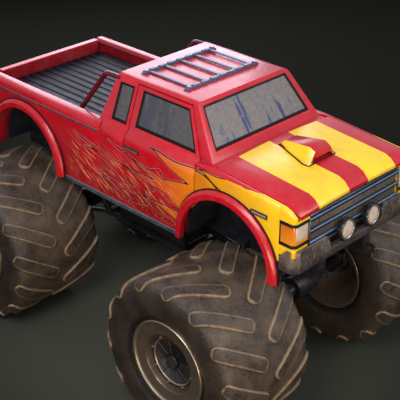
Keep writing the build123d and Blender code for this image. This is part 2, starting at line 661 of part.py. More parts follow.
def bed_liner():
    x0, x1 = bed_floor_x0 + 4, BED_X1 - BULKHEAD_T
    pieces = [block(x0, x1, -bed_in_y, bed_in_y, BED_FLOOR_Z, BED_FLOOR_Z + LINER_PLATE_T)]
    pitch = 2 * bed_in_y / LINER_RIBS
    half, z0 = LINER_RIB_W / 2, BED_FLOOR_Z + LINER_PLATE_T / 2
    for rib in range(LINER_RIBS):
        y = -bed_in_y + (rib + 0.5) * pitch
        pieces.append(block(x0, x1, y - half, y + half, z0, LINER_Z))
    return joined(pieces)


save("bed_liner", bed_liner())

TAILGATE_LOW_Z = BED_TOP_Z - 435
TAILGATE_HALF = bed_in_y - SHUT
PRESSING = 12                                 # depth of the tailgate's pressed panel
gate = block(BED_X0, BED_X0 + TAILGATE_T, -TAILGATE_HALF, TAILGATE_HALF, TAILGATE_LOW_Z, BED_TOP_Z)
pressed_half = TAILGATE_HALF - 110
pressed = block(BED_X0 - 1, BED_X0 + PRESSING, -pressed_half, pressed_half, TAILGATE_LOW_Z + 90, BED_TOP_Z - 120)
save("tailgate", gate - pressed)
tail_lamp = block(BED_X0 - 12, BED_X0, bed_in_y + 16, SIDE_Y - 12, BED_TOP_Z - 380, BED_TOP_Z - 160)
save("tail_lamps", pair(tail_lamp))

REAR_BUMPER_Z = SILL_Z + 178
bar = block(BED_X0 - 108, BED_X0 - 18, -700, 700, REAR_BUMPER_Z, REAR_BUMPER_Z + 130)
arm = block(BED_X0 - 18, bed_floor_x0 + 7, 250, 330, REAR_BUMPER_Z + 40, REAR_BUMPER_Z + 90)
save("rear_bumper", joined([bar, arm, mirrored(arm)]))

BED_STRIP_Z = SIDE_TOP_Z + 24
BED_STRIP_H = 22
bed_strip = block(BED_X0 + 60, BED_X1 - 25, SIDE_Y, SIDE_Y + 8, BED_STRIP_Z, BED_STRIP_Z + BED_STRIP_H)
save("bed_strips", pair(bed_strip))

# ---- roof rack and bed bars ---------------------------------------------------------------
RACK_X = [REAR_HEAD[0] + 204, SCREEN_HEAD[0] - 273]
RACK_HALF = 507
RACK_SLATS = 5
RACK_SLAT_PITCH = 205
RACK_H = 32
RACK_HOLES = 8


def roof_rack():
    """Two bars across the roof, tapered to their ends and pierced, with slats along it between them."""
    pieces = []
    top = ROOF_Z + RACK_H
    for x in RACK_X:
        bar = along_x(both_sides([(RACK_HALF, ROOF_Z), (RACK_HALF - 40, top)]), x - 18, x + 18)
        for hole in range(RACK_HOLES):
            y = (hole - (RACK_HOLES - 1) / 2) * 2 * (RACK_HALF - 90) / (RACK_HOLES - 1)
            bar = bar - block(x - 20, x + 20, y - 16, y + 16, top - 9, top + 1)
        pieces.append(bar)
    for slat in range(RACK_SLATS):
        y = (slat - (RACK_SLATS - 1) / 2) * RACK_SLAT_PITCH
        pieces.append(block(RACK_X[0] + 10, RACK_X[1] - 10, y - 18, y + 18, ROOF_Z + 8, ROOF_Z + 20))
    return joined(pieces)


save("roof_rack", roof_rack())

BAR_R = 27
BAR_Y = 610
BAR_BEND = 90
BAR_FOOT_X = CAB_REAR_X - 578
BAR_HEAD_X = CAB_REAR_X - 112
BAR_HEAD_Z = ROOF_Z - 56


def bed_bar():
    """Bar from the bed's floor up to the roof's height, then forward to the cab's rear wall."""
    foot = (BAR_FOOT_X, BAR_Y, LINER_Z)
    bend, head = (BAR_HEAD_X, BAR_Y, BAR_HEAD_Z), (REAR_HEAD[0] + 30, BAR_Y, BAR_HEAD_Z + 8)
    path = FilletPolyline(foot, bend, head, radius=BAR_BEND)
    bar = sweep(Plane(origin=path @ 0, z_dir=path % 0) * RegularPolygon(BAR_R, 10), path=path)
    x, y, z = foot
    flange = block(x - 60, x + 60, y - 45, y + 45, z, z + 12)
    below = block(x - 200, x + 200, y - 100, y + 100, z - 100, z)
    return (bar - below - cab_outer) + flange


save("bed_bars", pair(bed_bar()))

# ---- cab interior -------------------------------------------------------------------------
FLOOR_Z = SILL_Z + WALL
SEAT_X = DOOR_REAR_X + 52
SEAT_L, SEAT_H, SEAT_BACK_H, SEAT_BACK_T = 560, 278, 878, 110
SEAT_IN_Y, SEAT_OUT_Y = 130, 620


def seat():
    hip_z, top_z = FLOOR_Z + SEAT_H - 30, FLOOR_Z + SEAT_BACK_H
    cushion = outline([
        (SEAT_X + 50, FLOOR_Z), (SEAT_X + SEAT_L - 50, FLOOR_Z), (SEAT_X + SEAT_L, FLOOR_Z + SEAT_H),
        (SEAT_X + 70, hip_z),
    ])
    back = outline([
        (SEAT_X, hip_z - 30), (SEAT_X + SEAT_BACK_T + 10, hip_z), (SEAT_X - 10, top_z),
        (SEAT_X - SEAT_BACK_T, top_z - 20),
    ])
    return along_y(cushion, SEAT_IN_Y, SEAT_OUT_Y) + along_y(back, SEAT_IN_Y + 10, SEAT_OUT_Y - 10)


save("seats", pair(seat()))

FIREWALL_X = COWL_X - WALL                    # inner face of the cab's front wall
DASH_LOW_Z = COWL_LOW_Z + WALL + 10
DASH_DEEP, DASH_H, DASH_KNEE = 256, 232, 175
DASH_HALF = BELT_Y - WALL + 3
DASH_TOP_Z = BELT_Z - 56
DASH_SIDE = [
    (FIREWALL_X - DASH_DEEP, DASH_TOP_Z - DASH_H), (FIREWALL_X - DASH_DEEP + 40, DASH_TOP_Z - 42),
    (FIREWALL_X - 96, DASH_TOP_Z), (FIREWALL_X, DASH_TOP_Z), (FIREWALL_X, DASH_LOW_Z),
    (FIREWALL_X - 60, DASH_LOW_Z),
    (FIREWALL_X - DASH_KNEE, DASH_TOP_Z - DASH_H),
]
dash = along_y(outline(DASH_SIDE), -DASH_HALF, DASH_HALF)
save("dashboard", dash)

STEER_AT = (FIREWALL_X - 416, 375, BELT_Z - 188)
STEER_R = 200
STEER_PROFILE = [(-13, STEER_R - 22), (13, STEER_R - 22), (13, STEER_R - 4), (0, STEER_R), (-13, STEER_R - 4)]


def steering_wheel():
    ring = turned(STEER_PROFILE, 14)
    reach = STEER_R - 30
    spokes = block(-reach, reach, -8, 8, -16, 16) + block(-16, 16, -8, 8, -reach, 0)
    hub = rod((0, -14, 0), (0, 16, 0), 45, 8)
    wheel = Pos(*STEER_AT) * Rot(0, 22, 0) * Rot(0, 0, -90) * joined([ring, spokes, hub])
    x, y, z = STEER_AT
    column = rod((x, y, z), (x + 215, y, z - 20), 26, 8) - dash
    return wheel + column


save("steering_wheel", steering_wheel())

# ---- chassis ------------------------------------------------------------------------------
RAIL_H = 140
RAIL_Z1 = SILL_Z - 22
RAIL_Z0 = RAIL_Z1 - RAIL_H
RAIL_X0, RAIL_X1 = REAR_AXLE_X - TAIL_REACH + 52, FRONT_AXLE_X + NOSE_REACH - 73
CROSS_Z0, CROSS_Z1 = RAIL_Z0 + 10, RAIL_Z0 + 90
CROSS_X = [RAIL_X0 + 40, REAR_AXLE_X + 316, -340, 300, 860, FRONT_AXLE_X - 136, RAIL_X1 - 230]
BELLY_X0, BELLY_X1 = -900, 300
BELLY_Z0 = 900
BELLY_Y = 250
TUBE = 46
PAD_X = [-340, 0, 480, 860]
TOW_X, TOW_Y, TOW_Z = 2205, 330, 1540        # front tow eyes
TOW_R, TOW_T = 20, 24
DRAWBAR_X, DRAWBAR_Z = -2125, 1500            # rear drawbar eye
DRAWBAR_R, DRAWBAR_T = 18, 30
SHOCK_HEAD_X, SHOCK_HEAD_Y, SHOCK_HEAD_Z = 190, 414, 1500


def frame():
    rail = block(RAIL_X0, RAIL_X1, RAIL_Y0, RAIL_Y1, RAIL_Z0, RAIL_Z1)
    pieces = [rail, mirrored(rail)]
    for x in CROSS_X:
        pieces.append(block(x - 30, x + 30, -RAIL_Y0 - 5, RAIL_Y0 + 5, CROSS_Z0, CROSS_Z1))
    for axle_x in (FRONT_AXLE_X, REAR_AXLE_X):
        for dx in (-SHOCK_HEAD_X, SHOCK_HEAD_X):
            x = axle_x + dx
            ear = block(x - 50, x + 50, RAIL_Y1 - 5, SHOCK_HEAD_Y + 44, SHOCK_HEAD_Z, SHOCK_HEAD_Z + 60)
            pieces += [ear, mirrored(ear)]
    pads = [block(x - 50, x + 50, RAIL_Y0, RAIL_Y1, RAIL_Z1, SILL_Z) for x in PAD_X]
    bed_post_x = bed_floor_x0 + 7
    bed_post = block(bed_post_x, bed_post_x + 50, RAIL_Y0, RAIL_Y1, RAIL_Z1, SILL_Z + 78)
    nose_post = block(RAIL_X1 - 60, RAIL_X1, RAIL_Y0, RAIL_Y1, RAIL_Z1, BUMPER_LOW_Z + 8)
    nose_arm = block(RAIL_X1 - 60, BUMPER_BACK_X, RAIL_Y0, RAIL_Y1, BUMPER_LOW_Z + 3, BUMPER_BAR_Z)
    tow_ear = block(RAIL_X1 - 5, TOW_X + 35, TOW_Y - TOW_T / 2, TOW_Y + TOW_T / 2, TOW_Z - 40, TOW_Z + 40)
    for piece in (*pads, bed_post, nose_post, nose_arm, tow_ear):
        pieces += [piece, mirrored(piece)]
    half_t = DRAWBAR_T / 2
    pieces.append(block(DRAWBAR_X - 50, RAIL_X0 + 20, -60, 60, DRAWBAR_Z - half_t, DRAWBAR_Z + half_t))
    tow_hole = extrude(Plane.XZ.offset(-500) * Pos(TOW_X, TOW_Z) * Circle(TOW_R), 1000, dir=(0, -1, 0))
    drawbar_hole = extrude(Plane.XY.offset(DRAWBAR_Z - 50) * Pos(DRAWBAR_X, 0) * Circle(DRAWBAR_R), 100)
    return joined(pieces) - tow_hole - drawbar_hole


def belly_cradle():
    """Tube cradle under the rails, round the transfer case."""
    pieces = []
    for side in SIDES.values():
        y0, y1 = sorted((side * (BELLY_Y - TUBE), side * BELLY_Y))
        pieces.append(block(BELLY_X0, BELLY_X1, y0, y1, BELLY_Z0, BELLY_Z0 + TUBE))
        for x in (BELLY_X0, BELLY_X1):
            foot = (x, side * (BELLY_Y - TUBE / 2), BELLY_Z0 + TUBE / 2)
            head = (x * 1.25, side * (RAIL_Y0 + 45), RAIL_Z0 + 30)
            pieces.append(rod(foot, head, 34, 8))
    for x in (BELLY_X0, BELLY_X1):
        pieces.append(block(x - 30, x + 30, -BELLY_Y, BELLY_Y, BELLY_Z0 - 8, BELLY_Z0 + 60))
    return joined(pieces)


rails = frame()
cradle = belly_cradle() - rails
save("frame", rails)
save("belly_cradle", cradle)
chassis = rails + cradle
ENGINE_HALF, ENGINE_H = 250, 630
ENGINE_X0 = FRONT_AXLE_X - 121
ENGINE_X1 = RAIL_X1 - 245
GEARBOX_X0, GEARBOX_X1, GEARBOX_HALF, GEARBOX_H = -330, 900, 150, 105
save("engine_block", block(ENGINE_X0, ENGINE_X1, -ENGINE_HALF, ENGINE_HALF, CROSS_Z1, CROSS_Z1 + ENGINE_H))
save("gearbox", block(GEARBOX_X0, GEARBOX_X1, -GEARBOX_HALF, GEARBOX_HALF, CROSS_Z0 - GEARBOX_H, CROSS_Z0))

# ---- wheelhouses --------------------------------------------------------------------------
HOUSE_CHORDS = 9


def wheelhouse(centre_x, out_y):
    """Inner arch: a band from the body side in to an upright wall that stands on the frame rail."""
    inner = arch(centre_x, ARCH_INNER, chords=HOUSE_CHORDS)
    outer = arch(centre_x, ARCH_INNER + HOUSE_T, chords=HOUSE_CHORDS)
    wall = along_y(outer, RAIL_Y1 - HOUSE_T, RAIL_Y1)
    return wall + along_y(outer - inner, RAIL_Y1, out_y)


front_house = wheelhouse(ARCHES["front"], SIDE_Y - WALL)
rear_house = wheelhouse(ARCHES["rear"], bed_in_y)
save("wheelhouses", pair(front_house - rails), pair(rear_house - rails))

# ---- axles --------------------------------------------------------------------------------
KINGPIN_Y = 930
TUBE_R = 72
DIFF_Y = 240
DIFF_R = 122
YOKE_Z = 92               # inner faces of the yoke's ears, from the axle's height


def axle_tube(x, reach, diff_y):
    tube = rod((x, -reach, AXLE_Z), (x, reach, AXLE_Z), TUBE_R)
    housing = rod((x, diff_y - 140, AXLE_Z), (x, diff_y + 140, AXLE_Z), DIFF_R)
    return tube + housing


def yoke(x):
    back = block(x - 60, x + 60, KINGPIN_Y - 110, KINGPIN_Y - 72, AXLE_Z - YOKE_Z - 28, AXLE_Z + YOKE_Z + 28)
    ears = []
    for z in (AXLE_Z - YOKE_Z - 28, AXLE_Z + YOKE_Z):
        ears.append(block(x - 60, x + 60, KINGPIN_Y - 80, KINGPIN_Y + 50, z, z + 28))
    hole = bore((x, KINGPIN_Y, AXLE_Z - 200), (x, KINGPIN_Y, AXLE_Z + 200), PIN_R + PIN_PLAY)
    return joined([back, *ears]) - hole


PIN_R = 22
PIN_PLAY = 0.3
x = FRONT_AXLE_X
left_yoke = yoke(x)
front_beam = joined([axle_tube(x, KINGPIN_Y - 80, DIFF_Y), left_yoke, mirrored(left_yoke)])
save("front_axle", front_beam)

SPINDLE_END = WHEEL_Y + HUB_FACE + 34
DRUM_R = 190


def knuckle(x):
    body = rod((x, KINGPIN_Y, AXLE_Z - YOKE_Z + 6), (x, KINGPIN_Y, AXLE_Z + YOKE_Z - 6), 58)
    kingpin = rod((x, KINGPIN_Y, AXLE_Z - YOKE_Z - 30), (x, KINGPIN_Y, AXLE_Z + YOKE_Z + 30), PIN_R, 16)
    neck = rod((x, KINGPIN_Y + 20, AXLE_Z), (x, KINGPIN_Y + 110, AXLE_Z), 70)
    drum = rod((x, KINGPIN_Y + 100, AXLE_Z), (x, WHEEL_Y + HUB_FACE - HUB_THICK - 12, AXLE_Z), DRUM_R, 16)
    spindle = rod((x, KINGPIN_Y + 110, AXLE_Z), (x, SPINDLE_END, AXLE_Z), SPINDLE_R, 20)
    arm = block(x - ARM_X - 30, x - 30, KINGPIN_Y - 20, KINGPIN_Y + 20, AXLE_Z - 75, AXLE_Z - 47)
    return joined([body, kingpin, neck, drum, spindle, arm]) - ball_hole(x)


ARM_X = 200
BALL_R = 14


def ball_hole(x):
    return bore((x - ARM_X, KINGPIN_Y, AXLE_Z - 120), (x - ARM_X, KINGPIN_Y, AXLE_Z), BALL_R + PIN_PLAY)


left_knuckle = knuckle(FRONT_AXLE_X)
save("knuckle_left", left_knuckle)
save("knuckle_right", mirrored(left_knuckle))


def tie_rod(x):
    z = AXLE_Z - 105
    bar = rod((x - ARM_X, -KINGPIN_Y, z), (x - ARM_X, KINGPIN_Y, z), 19)
    for side in SIDES.values():
        end_x, y = x - ARM_X, side * KINGPIN_Y
        bar = bar + rod((end_x, y, z - 20), (end_x, y, AXLE_Z - 40), BALL_R, 16)
    return bar


save("tie_rod", tie_rod(FRONT_AXLE_X))


def rear_axle(x):
    drum_end = WHEEL_Y + HUB_FACE - HUB_THICK - 12
    drums = [rod((x, s * (KINGPIN_Y + 20), AXLE_Z), (x, s * drum_end, AXLE_Z), DRUM_R, 16) for s in (1, -1)]
    spindle = rod((x, -SPINDLE_END, AXLE_Z), (x, SPINDLE_END, AXLE_Z), SPINDLE_R, 20)
    return joined([axle_tube(x, KINGPIN_Y + 60, 0), spindle, *drums])


rear_beam = rear_axle(REAR_AXLE_X)
save("rear_axle", rear_beam)

# ---- links, springs, shafts ---------------------------------------------------------------
LINK_R = 24
LINK_AXLE_Y = 300
links = []
ENDS = [(1, FRONT_AXLE_X, BELLY_X1, front_beam), (-1, REAR_AXLE_X, BELLY_X0, rear_beam)]
for end, axle_x, belly_x, beam in ENDS:
    link = rod((belly_x, 215, BELLY_Z0 + 26), (axle_x - end * 40, LINK_AXLE_Y, AXLE_Z - 18), LINK_R)
    for bar in (link, mirrored(link)):
        links.append(bar - chassis - beam)
save("suspension_links", *links)

SPRING_R = 44
springs = []
for axle_x, beam in ((FRONT_AXLE_X, front_beam), (REAR_AXLE_X, rear_beam)):
    for dx in (-1, 1):
        foot = (axle_x + dx * 56, SHOCK_HEAD_Y, AXLE_Z + 30)
        head = (axle_x + dx * SHOCK_HEAD_X, SHOCK_HEAD_Y, SHOCK_HEAD_Z + 20)
        spring = rod(foot, head, SPRING_R) - chassis - beam
        springs += [spring, mirrored(spring)]
save("shock_absorbers", *springs)

CASE_X0, CASE_X1 = BELLY_X0 + 120, BELLY_X1 - 60
CASE_HALF, CASE_H = 190, 404
SHAFT_R = 34
SHAFT_Z = BELLY_Z0 + TUBE + 118               # height of the case's outlets
case = block(CASE_X0, CASE_X1, -CASE_HALF, CASE_HALF, BELLY_Z0 + TUBE, BELLY_Z0 + TUBE + CASE_H)
save("transfer_case", case)
front_out, front_in = (CASE_X1 - 20, DIFF_Y / 2, SHAFT_Z), (FRONT_AXLE_X - 60, DIFF_Y - 70, AXLE_Z + 12)
rear_out, rear_in = (CASE_X0 + 20, 0, SHAFT_Z), (REAR_AXLE_X + 60, 0, AXLE_Z + 12)
shaft_front = rod(front_out, front_in, SHAFT_R) - front_beam - case
shaft_rear = rod(rear_out, rear_in, SHAFT_R) - rear_beam - case
save("drive_shafts", shaft_front, shaft_rear)
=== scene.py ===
import bpy
import bmesh
import json
import math
from mathutils import Matrix, Vector
from mathutils.bvhtree import BVHTree

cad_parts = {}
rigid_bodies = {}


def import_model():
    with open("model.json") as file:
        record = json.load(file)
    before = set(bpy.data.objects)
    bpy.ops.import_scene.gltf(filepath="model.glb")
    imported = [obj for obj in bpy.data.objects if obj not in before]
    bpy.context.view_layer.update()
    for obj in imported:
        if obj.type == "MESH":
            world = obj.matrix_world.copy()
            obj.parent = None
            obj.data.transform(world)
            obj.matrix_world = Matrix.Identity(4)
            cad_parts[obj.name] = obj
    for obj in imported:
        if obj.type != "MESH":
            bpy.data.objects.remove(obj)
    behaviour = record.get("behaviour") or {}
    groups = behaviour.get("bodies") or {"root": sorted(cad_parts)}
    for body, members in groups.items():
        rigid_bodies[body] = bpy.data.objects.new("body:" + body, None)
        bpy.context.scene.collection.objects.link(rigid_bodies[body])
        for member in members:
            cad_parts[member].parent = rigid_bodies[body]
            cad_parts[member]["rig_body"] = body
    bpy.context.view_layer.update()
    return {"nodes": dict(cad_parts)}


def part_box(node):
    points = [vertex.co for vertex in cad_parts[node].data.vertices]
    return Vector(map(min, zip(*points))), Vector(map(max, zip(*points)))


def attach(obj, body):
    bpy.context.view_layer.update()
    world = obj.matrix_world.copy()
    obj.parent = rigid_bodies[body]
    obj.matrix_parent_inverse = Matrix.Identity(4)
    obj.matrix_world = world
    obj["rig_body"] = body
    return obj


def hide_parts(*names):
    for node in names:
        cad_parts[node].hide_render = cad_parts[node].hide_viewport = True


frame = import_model()
cad = frame["nodes"]

# ---- Stand --------------------------------------------------------------------------------
# A dark studio floor with a painted glow of light round the truck, under large soft lamps and a pale sky.
# The camera looks down at the truck's right front corner.
CAMERA_AT, CAMERA_AIM = (6.915, -6.723, 6.611), (0.716, -0.437, 1.775)
CAMERA_LENS = 93.58
FLOOR_PAINTED_GLOW, FLOOR_FAR = (0.060, 0.061, 0.048), (0.0135, 0.0137, 0.0105)
# The painted glow fades to the floor's own dark from the first distance to the second
FLOOR_GLOW = (1.3, 3.5)
SKY_COLOUR = (0.82, 0.88, 1.0, 1)
SKY_STRENGTH = 0.55
FLOOR_SIZE = 60


def new_object(name, data):
    """An object of some data, linked to the scene."""
    made = bpy.data.objects.new(name, data)
    bpy.context.scene.collection.objects.link(made)
    return made


def aimed(holder, at, aim):
    """Sets a camera or a lamp at a place, looking at another."""
    holder.location = at
    holder.rotation_euler = (Vector(aim) - Vector(at)).to_track_quat("-Z", "Y").to_euler()


lens = bpy.data.cameras.new("camera")
lens.lens = CAMERA_LENS
lens.sensor_width = 36
camera = new_object("camera", lens)
aimed(camera, CAMERA_AT, CAMERA_AIM)
bpy.context.scene.camera = camera
bpy.context.scene.view_settings.view_transform = "Standard"


def new_material(name, colour=(0.5, 0.5, 0.5), rough=0.5, metal=0.0):
    """A material with its shader's plain values set; returns it and its shader."""
    material = bpy.data.materials.new(name)
    material.use_nodes = True
    shader = material.node_tree.nodes["Principled BSDF"]
    shader.inputs["Base Color"].default_value = (*colour, 1)
    shader.inputs["Roughness"].default_value = rough
    shader.inputs["Metallic"].default_value = metal
    return material, shader


def add_node(tree, kind, **settings):
    """A shader node with its settings."""
    new = tree.nodes.new("ShaderNode" + kind)
    for key, value in settings.items():
        setattr(new, key, value)
    return new


def feed(tree, socket, value):
    """Links a socket to an input, or writes a plain number or colour there."""
    if isinstance(value, bpy.types.NodeSocket):
        tree.links.new(value, socket)
    elif isinstance(value, tuple) and len(value) == 3 and socket.type == "RGBA":
        socket.default_value = (*value, 1)
    else:
        socket.default_value = value


def maths(tree, operation, *values, clamp=False):
    """Result of a sum on sockets or plain numbers."""
    new = add_node(tree, "Math", operation=operation, use_clamp=clamp)
    for socket, value in zip(new.inputs, values):
        feed(tree, socket, value)
    return new.outputs[0]


def times(tree, first, second):
    """Product of two sockets or numbers."""
    return maths(tree, "MULTIPLY", first, second)


def mixed(tree, share, first, second):
    """Colour mixed from first to second by a share."""
    new = add_node(tree, "Mix", data_type="RGBA")
    feed(tree, new.inputs["Factor"], share)
    feed(tree, new.inputs[6], first)
    feed(tree, new.inputs[7], second)
    return new.outputs[2]


def steps_between(tree, value, low, high):
    """0 below low, 1 above high, and a straight run between them."""
    new = add_node(tree, "MapRange")
    feed(tree, new.inputs["Value"], value)
    feed(tree, new.inputs["From Min"], low)
    feed(tree, new.inputs["From Max"], high)
    return new.outputs["Result"]


bpy.ops.mesh.primitive_plane_add(size=FLOOR_SIZE)
floor = bpy.context.object
floor.name = "floor"
floor_paint, floor_shader = new_material("studio floor", FLOOR_PAINTED_GLOW, 0.75)
floor_shader.inputs["Specular IOR Level"].default_value = 0.0
tree = floor_paint.node_tree
# Painted light: the floor is paler near the truck and fades outward
away = add_node(tree, "VectorMath", operation="LENGTH")
feed(tree, away.inputs[0], add_node(tree, "TexCoord").outputs["Object"])
painted_glow_fade = steps_between(tree, away.outputs["Value"], *FLOOR_GLOW)
painted_glow_fade.node.interpolation_type = "SMOOTHSTEP"
feed(tree, floor_shader.inputs["Base Color"], mixed(tree, painted_glow_fade, FLOOR_PAINTED_GLOW, FLOOR_FAR))
floor.data.materials.append(floor_paint)


def soft_lamp(name, at, aim, size, power, colour=(1, 1, 1)):
    """A square area lamp; its size is in metres and its power in watts."""
    light = bpy.data.lights.new(name, "AREA")
    light.size = size
    light.energy = power
    light.color = colour
    aimed(new_object(name, light), at, aim)


soft_lamp("key", (3.0, -6.5, 8.5), (0.3, -0.4, 1.6), 4.0, 620)
soft_lamp("fill", (8.5, 3.5, 5.5), (0.8, 0.2, 1.4), 4.5, 330)
soft_lamp("back", (-7.0, 5.0, 6.0), (0, 0, 1.8), 7.0, 520, (0.92, 0.86, 1.0))
soft_lamp("low", (6.5, -6.0, 1.0), (1.2, -1.2, 0.9), 2.4, 260, (1.0, 0.80, 0.56))
sky = bpy.data.worlds.new("sky")
sky.use_nodes = True
sky.node_tree.nodes["Background"].inputs["Color"].default_value = SKY_COLOUR
sky.node_tree.nodes["Background"].inputs["Strength"].default_value = SKY_STRENGTH
bpy.context.scene.world = sky

# ---- Tyres --------------------------------------------------------------------------------
# Four floatation tyres of moulded rubber with fourteen slanted bars a row, cured in one piece
# with the carcass. Long use has browned the rubber and rubbed the bars' edges pale.
TYRE_R = 0.838
BARS_PER_ROW = 14
BAR_SLANT = math.radians(35)
BAR_HALF = 0.068
# Share of the crest that a slanted bar takes, and where it starts along it
BAR_REACH, BAR_SHIFT = 0.98, 0.034
# Half-width of the tread and radius of the painted shadow round the bead, and how far each fades
CROWN_EDGE, CROWN_FADE = 0.530, 0.05
BEAD_R, BEAD_FADE = 0.500, 0.02
RUBBER = (0.014, 0.010, 0.009)
RUBBER_DUST = (0.150, 0.104, 0.070)
RUBBER_RUBBED = (0.330, 0.215, 0.120)
BEAD_PAINTED_SHADOW = (0.006, 0.005, 0.005)
# Half section of the carcass from the crown to the bead: y, radius
CARCASS = [
    (0.0, 0.816), (0.20, 0.816), (0.34, 0.814), (0.43, 0.810), (0.484, 0.798), (0.511, 0.776),
    (0.527, 0.738), (0.537, 0.690), (0.539, 0.630), (0.536, 0.570), (0.527, 0.520), (0.513, 0.482),
    (0.507, 0.460), (0.498, 0.446), (0.470, 0.444),
]
# Crest of a bar from its inner end over the shoulder to its foot: y, radius, height
BAR_CREST = [
    (0.020, 0.838, 0.040), (0.180, 0.838, 0.042), (0.300, 0.838, 0.044), (0.400, 0.836, 0.048),
    (0.462, 0.830, 0.052), (0.498, 0.815, 0.052), (0.524, 0.790, 0.046), (0.543, 0.757, 0.036),
    (0.5515, 0.722, 0.026), (0.5515, 0.690, 0.020), (0.547, 0.650, 0.016),
]
# Cross-section of a bar: place across it, share of its height, how much its face is rubbed
BAR_FACE = [
    (-1.16, 0.0, 0.0), (-1.06, 0.70, 0.45), (-0.99, 0.94, 1.0), (-0.89, 1.0, 0.9), (-0.72, 1.0, 0.0),
    (0.72, 1.0, 0.0), (0.89, 1.0, 0.9), (0.99, 0.94, 1.0), (1.06, 0.70, 0.45), (1.16, 0.0, 0.0),
]
# Round ends of a bar: share of its half-width run from the tip, height there, how much it is rubbed
BAR_TIP = [
    (0.0, 0.55, 0.6), (0.06, 0.90, 1.0), (0.16, 1.0, 1.0), (0.30, 1.0, 0.6), (0.50, 1.0, 0.0),
    (0.75, 1.0, 0.0),
]
BAR_TIP_WIDTH = 0.12
BAR_STATIONS = 16


def finished(name, mesh, body, material=None, replaced=()):
    """A finished piece that rides on a body, takes a finish where one is given and stands for CAD nodes."""
    piece = new_object(name, mesh)
    if material is not None:
        mesh.materials.clear()
        mesh.materials.append(material)
    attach(piece, body)
    if replaced:
        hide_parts(*replaced)
    return piece


def mesh_from(name, shape, smooth=False):
    """Mesh of an edited shape, which is let go."""
    mesh = bpy.data.meshes.new(name)
    shape.to_mesh(mesh)
    shape.free()
    mesh.polygons.foreach_set("use_smooth", [smooth] * len(mesh.polygons))
    return mesh


def mesh_of(name, corners, faces, smooth=True):
    """Closed mesh of some corners and faces, its doubled corners merged."""
    plain = bpy.data.meshes.new(name)
    plain.from_pydata(corners, [], faces)
    shape = bmesh.new()
    shape.from_mesh(plain)
    bmesh.ops.remove_doubles(shape, verts=shape.verts, dist=1e-6)
    bmesh.ops.recalc_face_normals(shape, faces=shape.faces)
    return mesh_from(name, shape, smooth)


def joined(here, there, count):
    """Faces between two rings of corners that are numbered from here and from there."""
    return [(here + i, here + (i + 1) % count, there + (i + 1) % count, there + i) for i in range(count)]


def point_values(mesh, name, values):
    """Keeps a value for each corner of a mesh, for its material to read."""
    mesh.attributes.new(name, "FLOAT", "POINT").data.foreach_set("value", values)


def turned_mesh(name, profile, steps):
    """Ring turned about the Y axis from a closed profile of (y, radius)."""
    count = len(profile)
    corners = []
    for step in range(steps):
        angle = 2 * math.pi * step / steps
        corners += [(r * math.sin(angle), y, r * math.cos(angle)) for y, r in profile]
    faces = []
    for step in range(steps):
        faces += joined(step * count, (step + 1) % steps * count, count)
    return mesh_of(name, corners, faces)


def on_crown(y):
    """1 on the tread and 0 on the sidewall, for a place across the tyre."""
    return min(1.0, max(0.0, (CROWN_EDGE - abs(y)) / CROWN_FADE))


def crest_at(run):
    """Place on the crest at a distance along it: y, radius, height and the outward direction."""
    for (y0, r0, h0), (y1, r1, h1) in zip(BAR_CREST, BAR_CREST[1:]):
        length = math.hypot(y1 - y0, r1 - r0)
        if run <= length or (y1, r1, h1) == BAR_CREST[-1]:
            share = run / length
            y, radius, height = y0 + share * (y1 - y0), r0 + share * (r1 - r0), h0 + share * (h1 - h0)
            return y, radius, height, (r0 - r1) / length, (y1 - y0) / length
        run -= length


def bar_mesh(side):
    """One tread bar at the top of the wheel, bent round it; side is +1 or -1 across the tread."""
    total = sum(math.dist(a[:2], b[:2]) for a, b in zip(BAR_CREST, BAR_CREST[1:]))
    tip = [
        (share * BAR_HALF, max(math.sqrt(1 - (1 - share) ** 2), BAR_TIP_WIDTH), rise, rub)
        for share, rise, rub in BAR_TIP
    ]
    pitch = (total - 2 * BAR_HALF) / (BAR_STATIONS - 1)
    straight = [(BAR_HALF + pitch * i, 1.0, 1.0, 0.0) for i in range(BAR_STATIONS)]
    stations = tip + straight + [(total - run, *rest) for run, *rest in reversed(tip)]
    corners, rubbed, crown, faces = [], [], [], []
    for run, width, rise, tip_rub in stations:
        lead = (total / 2 - run) * math.sin(BAR_SLANT)
        for across, share, rub in BAR_FACE:
            aside = across * width * BAR_HALF
            along = run * math.cos(BAR_SLANT) * BAR_REACH + aside * math.sin(BAR_SLANT) + BAR_SHIFT
            y, radius, height, out_y, out_r = crest_at(along)
            drop = (share * rise - 1) * height
            angle = (lead + aside * math.cos(BAR_SLANT)) / TYRE_R
            r = radius + drop * out_r
            corners.append((r * math.sin(angle), side * (y + drop * out_y), r * math.cos(angle)))
            rubbed.append(max(rub, tip_rub))
            crown.append(on_crown(y))
    wide = len(BAR_FACE)
    for i in range(len(stations) - 1):
        for j in range(wide - 1):
            a = i * wide + j
            faces.append((a, a + 1, a + wide + 1, a + wide))
    for end in (0, len(stations) - 1):
        faces.append(tuple(end * wide + j for j in range(wide)))
    mesh = mesh_of("tread bar", corners, faces)
    point_values(mesh, "rubbed", rubbed)
    point_values(mesh, "crown", crown)
    return mesh


def open_tree(kind, name, inputs, outputs):
    """Empty node group; returns it, its inputs' identifiers, and its input and output nodes."""
    tree, ids = bpy.data.node_groups.new(name, kind), {}
    for way, sockets in (("INPUT", inputs), ("OUTPUT", outputs)):
        for socket, holds in sockets.items():
            made = tree.interface.new_socket(name=socket, in_out=way, socket_type="NodeSocket" + holds)
            if way == "INPUT":
                ids[socket] = made.identifier
    return tree, ids, tree.nodes.new("NodeGroupInput"), tree.nodes.new("NodeGroupOutput")


def mesh_tree(name, **inputs):
    """Empty geometry-node group that takes a geometry and some inputs, and gives a geometry."""
    return open_tree("GeometryNodeTree", name, {"Geometry": "Geometry", **inputs}, {"Geometry": "Geometry"})


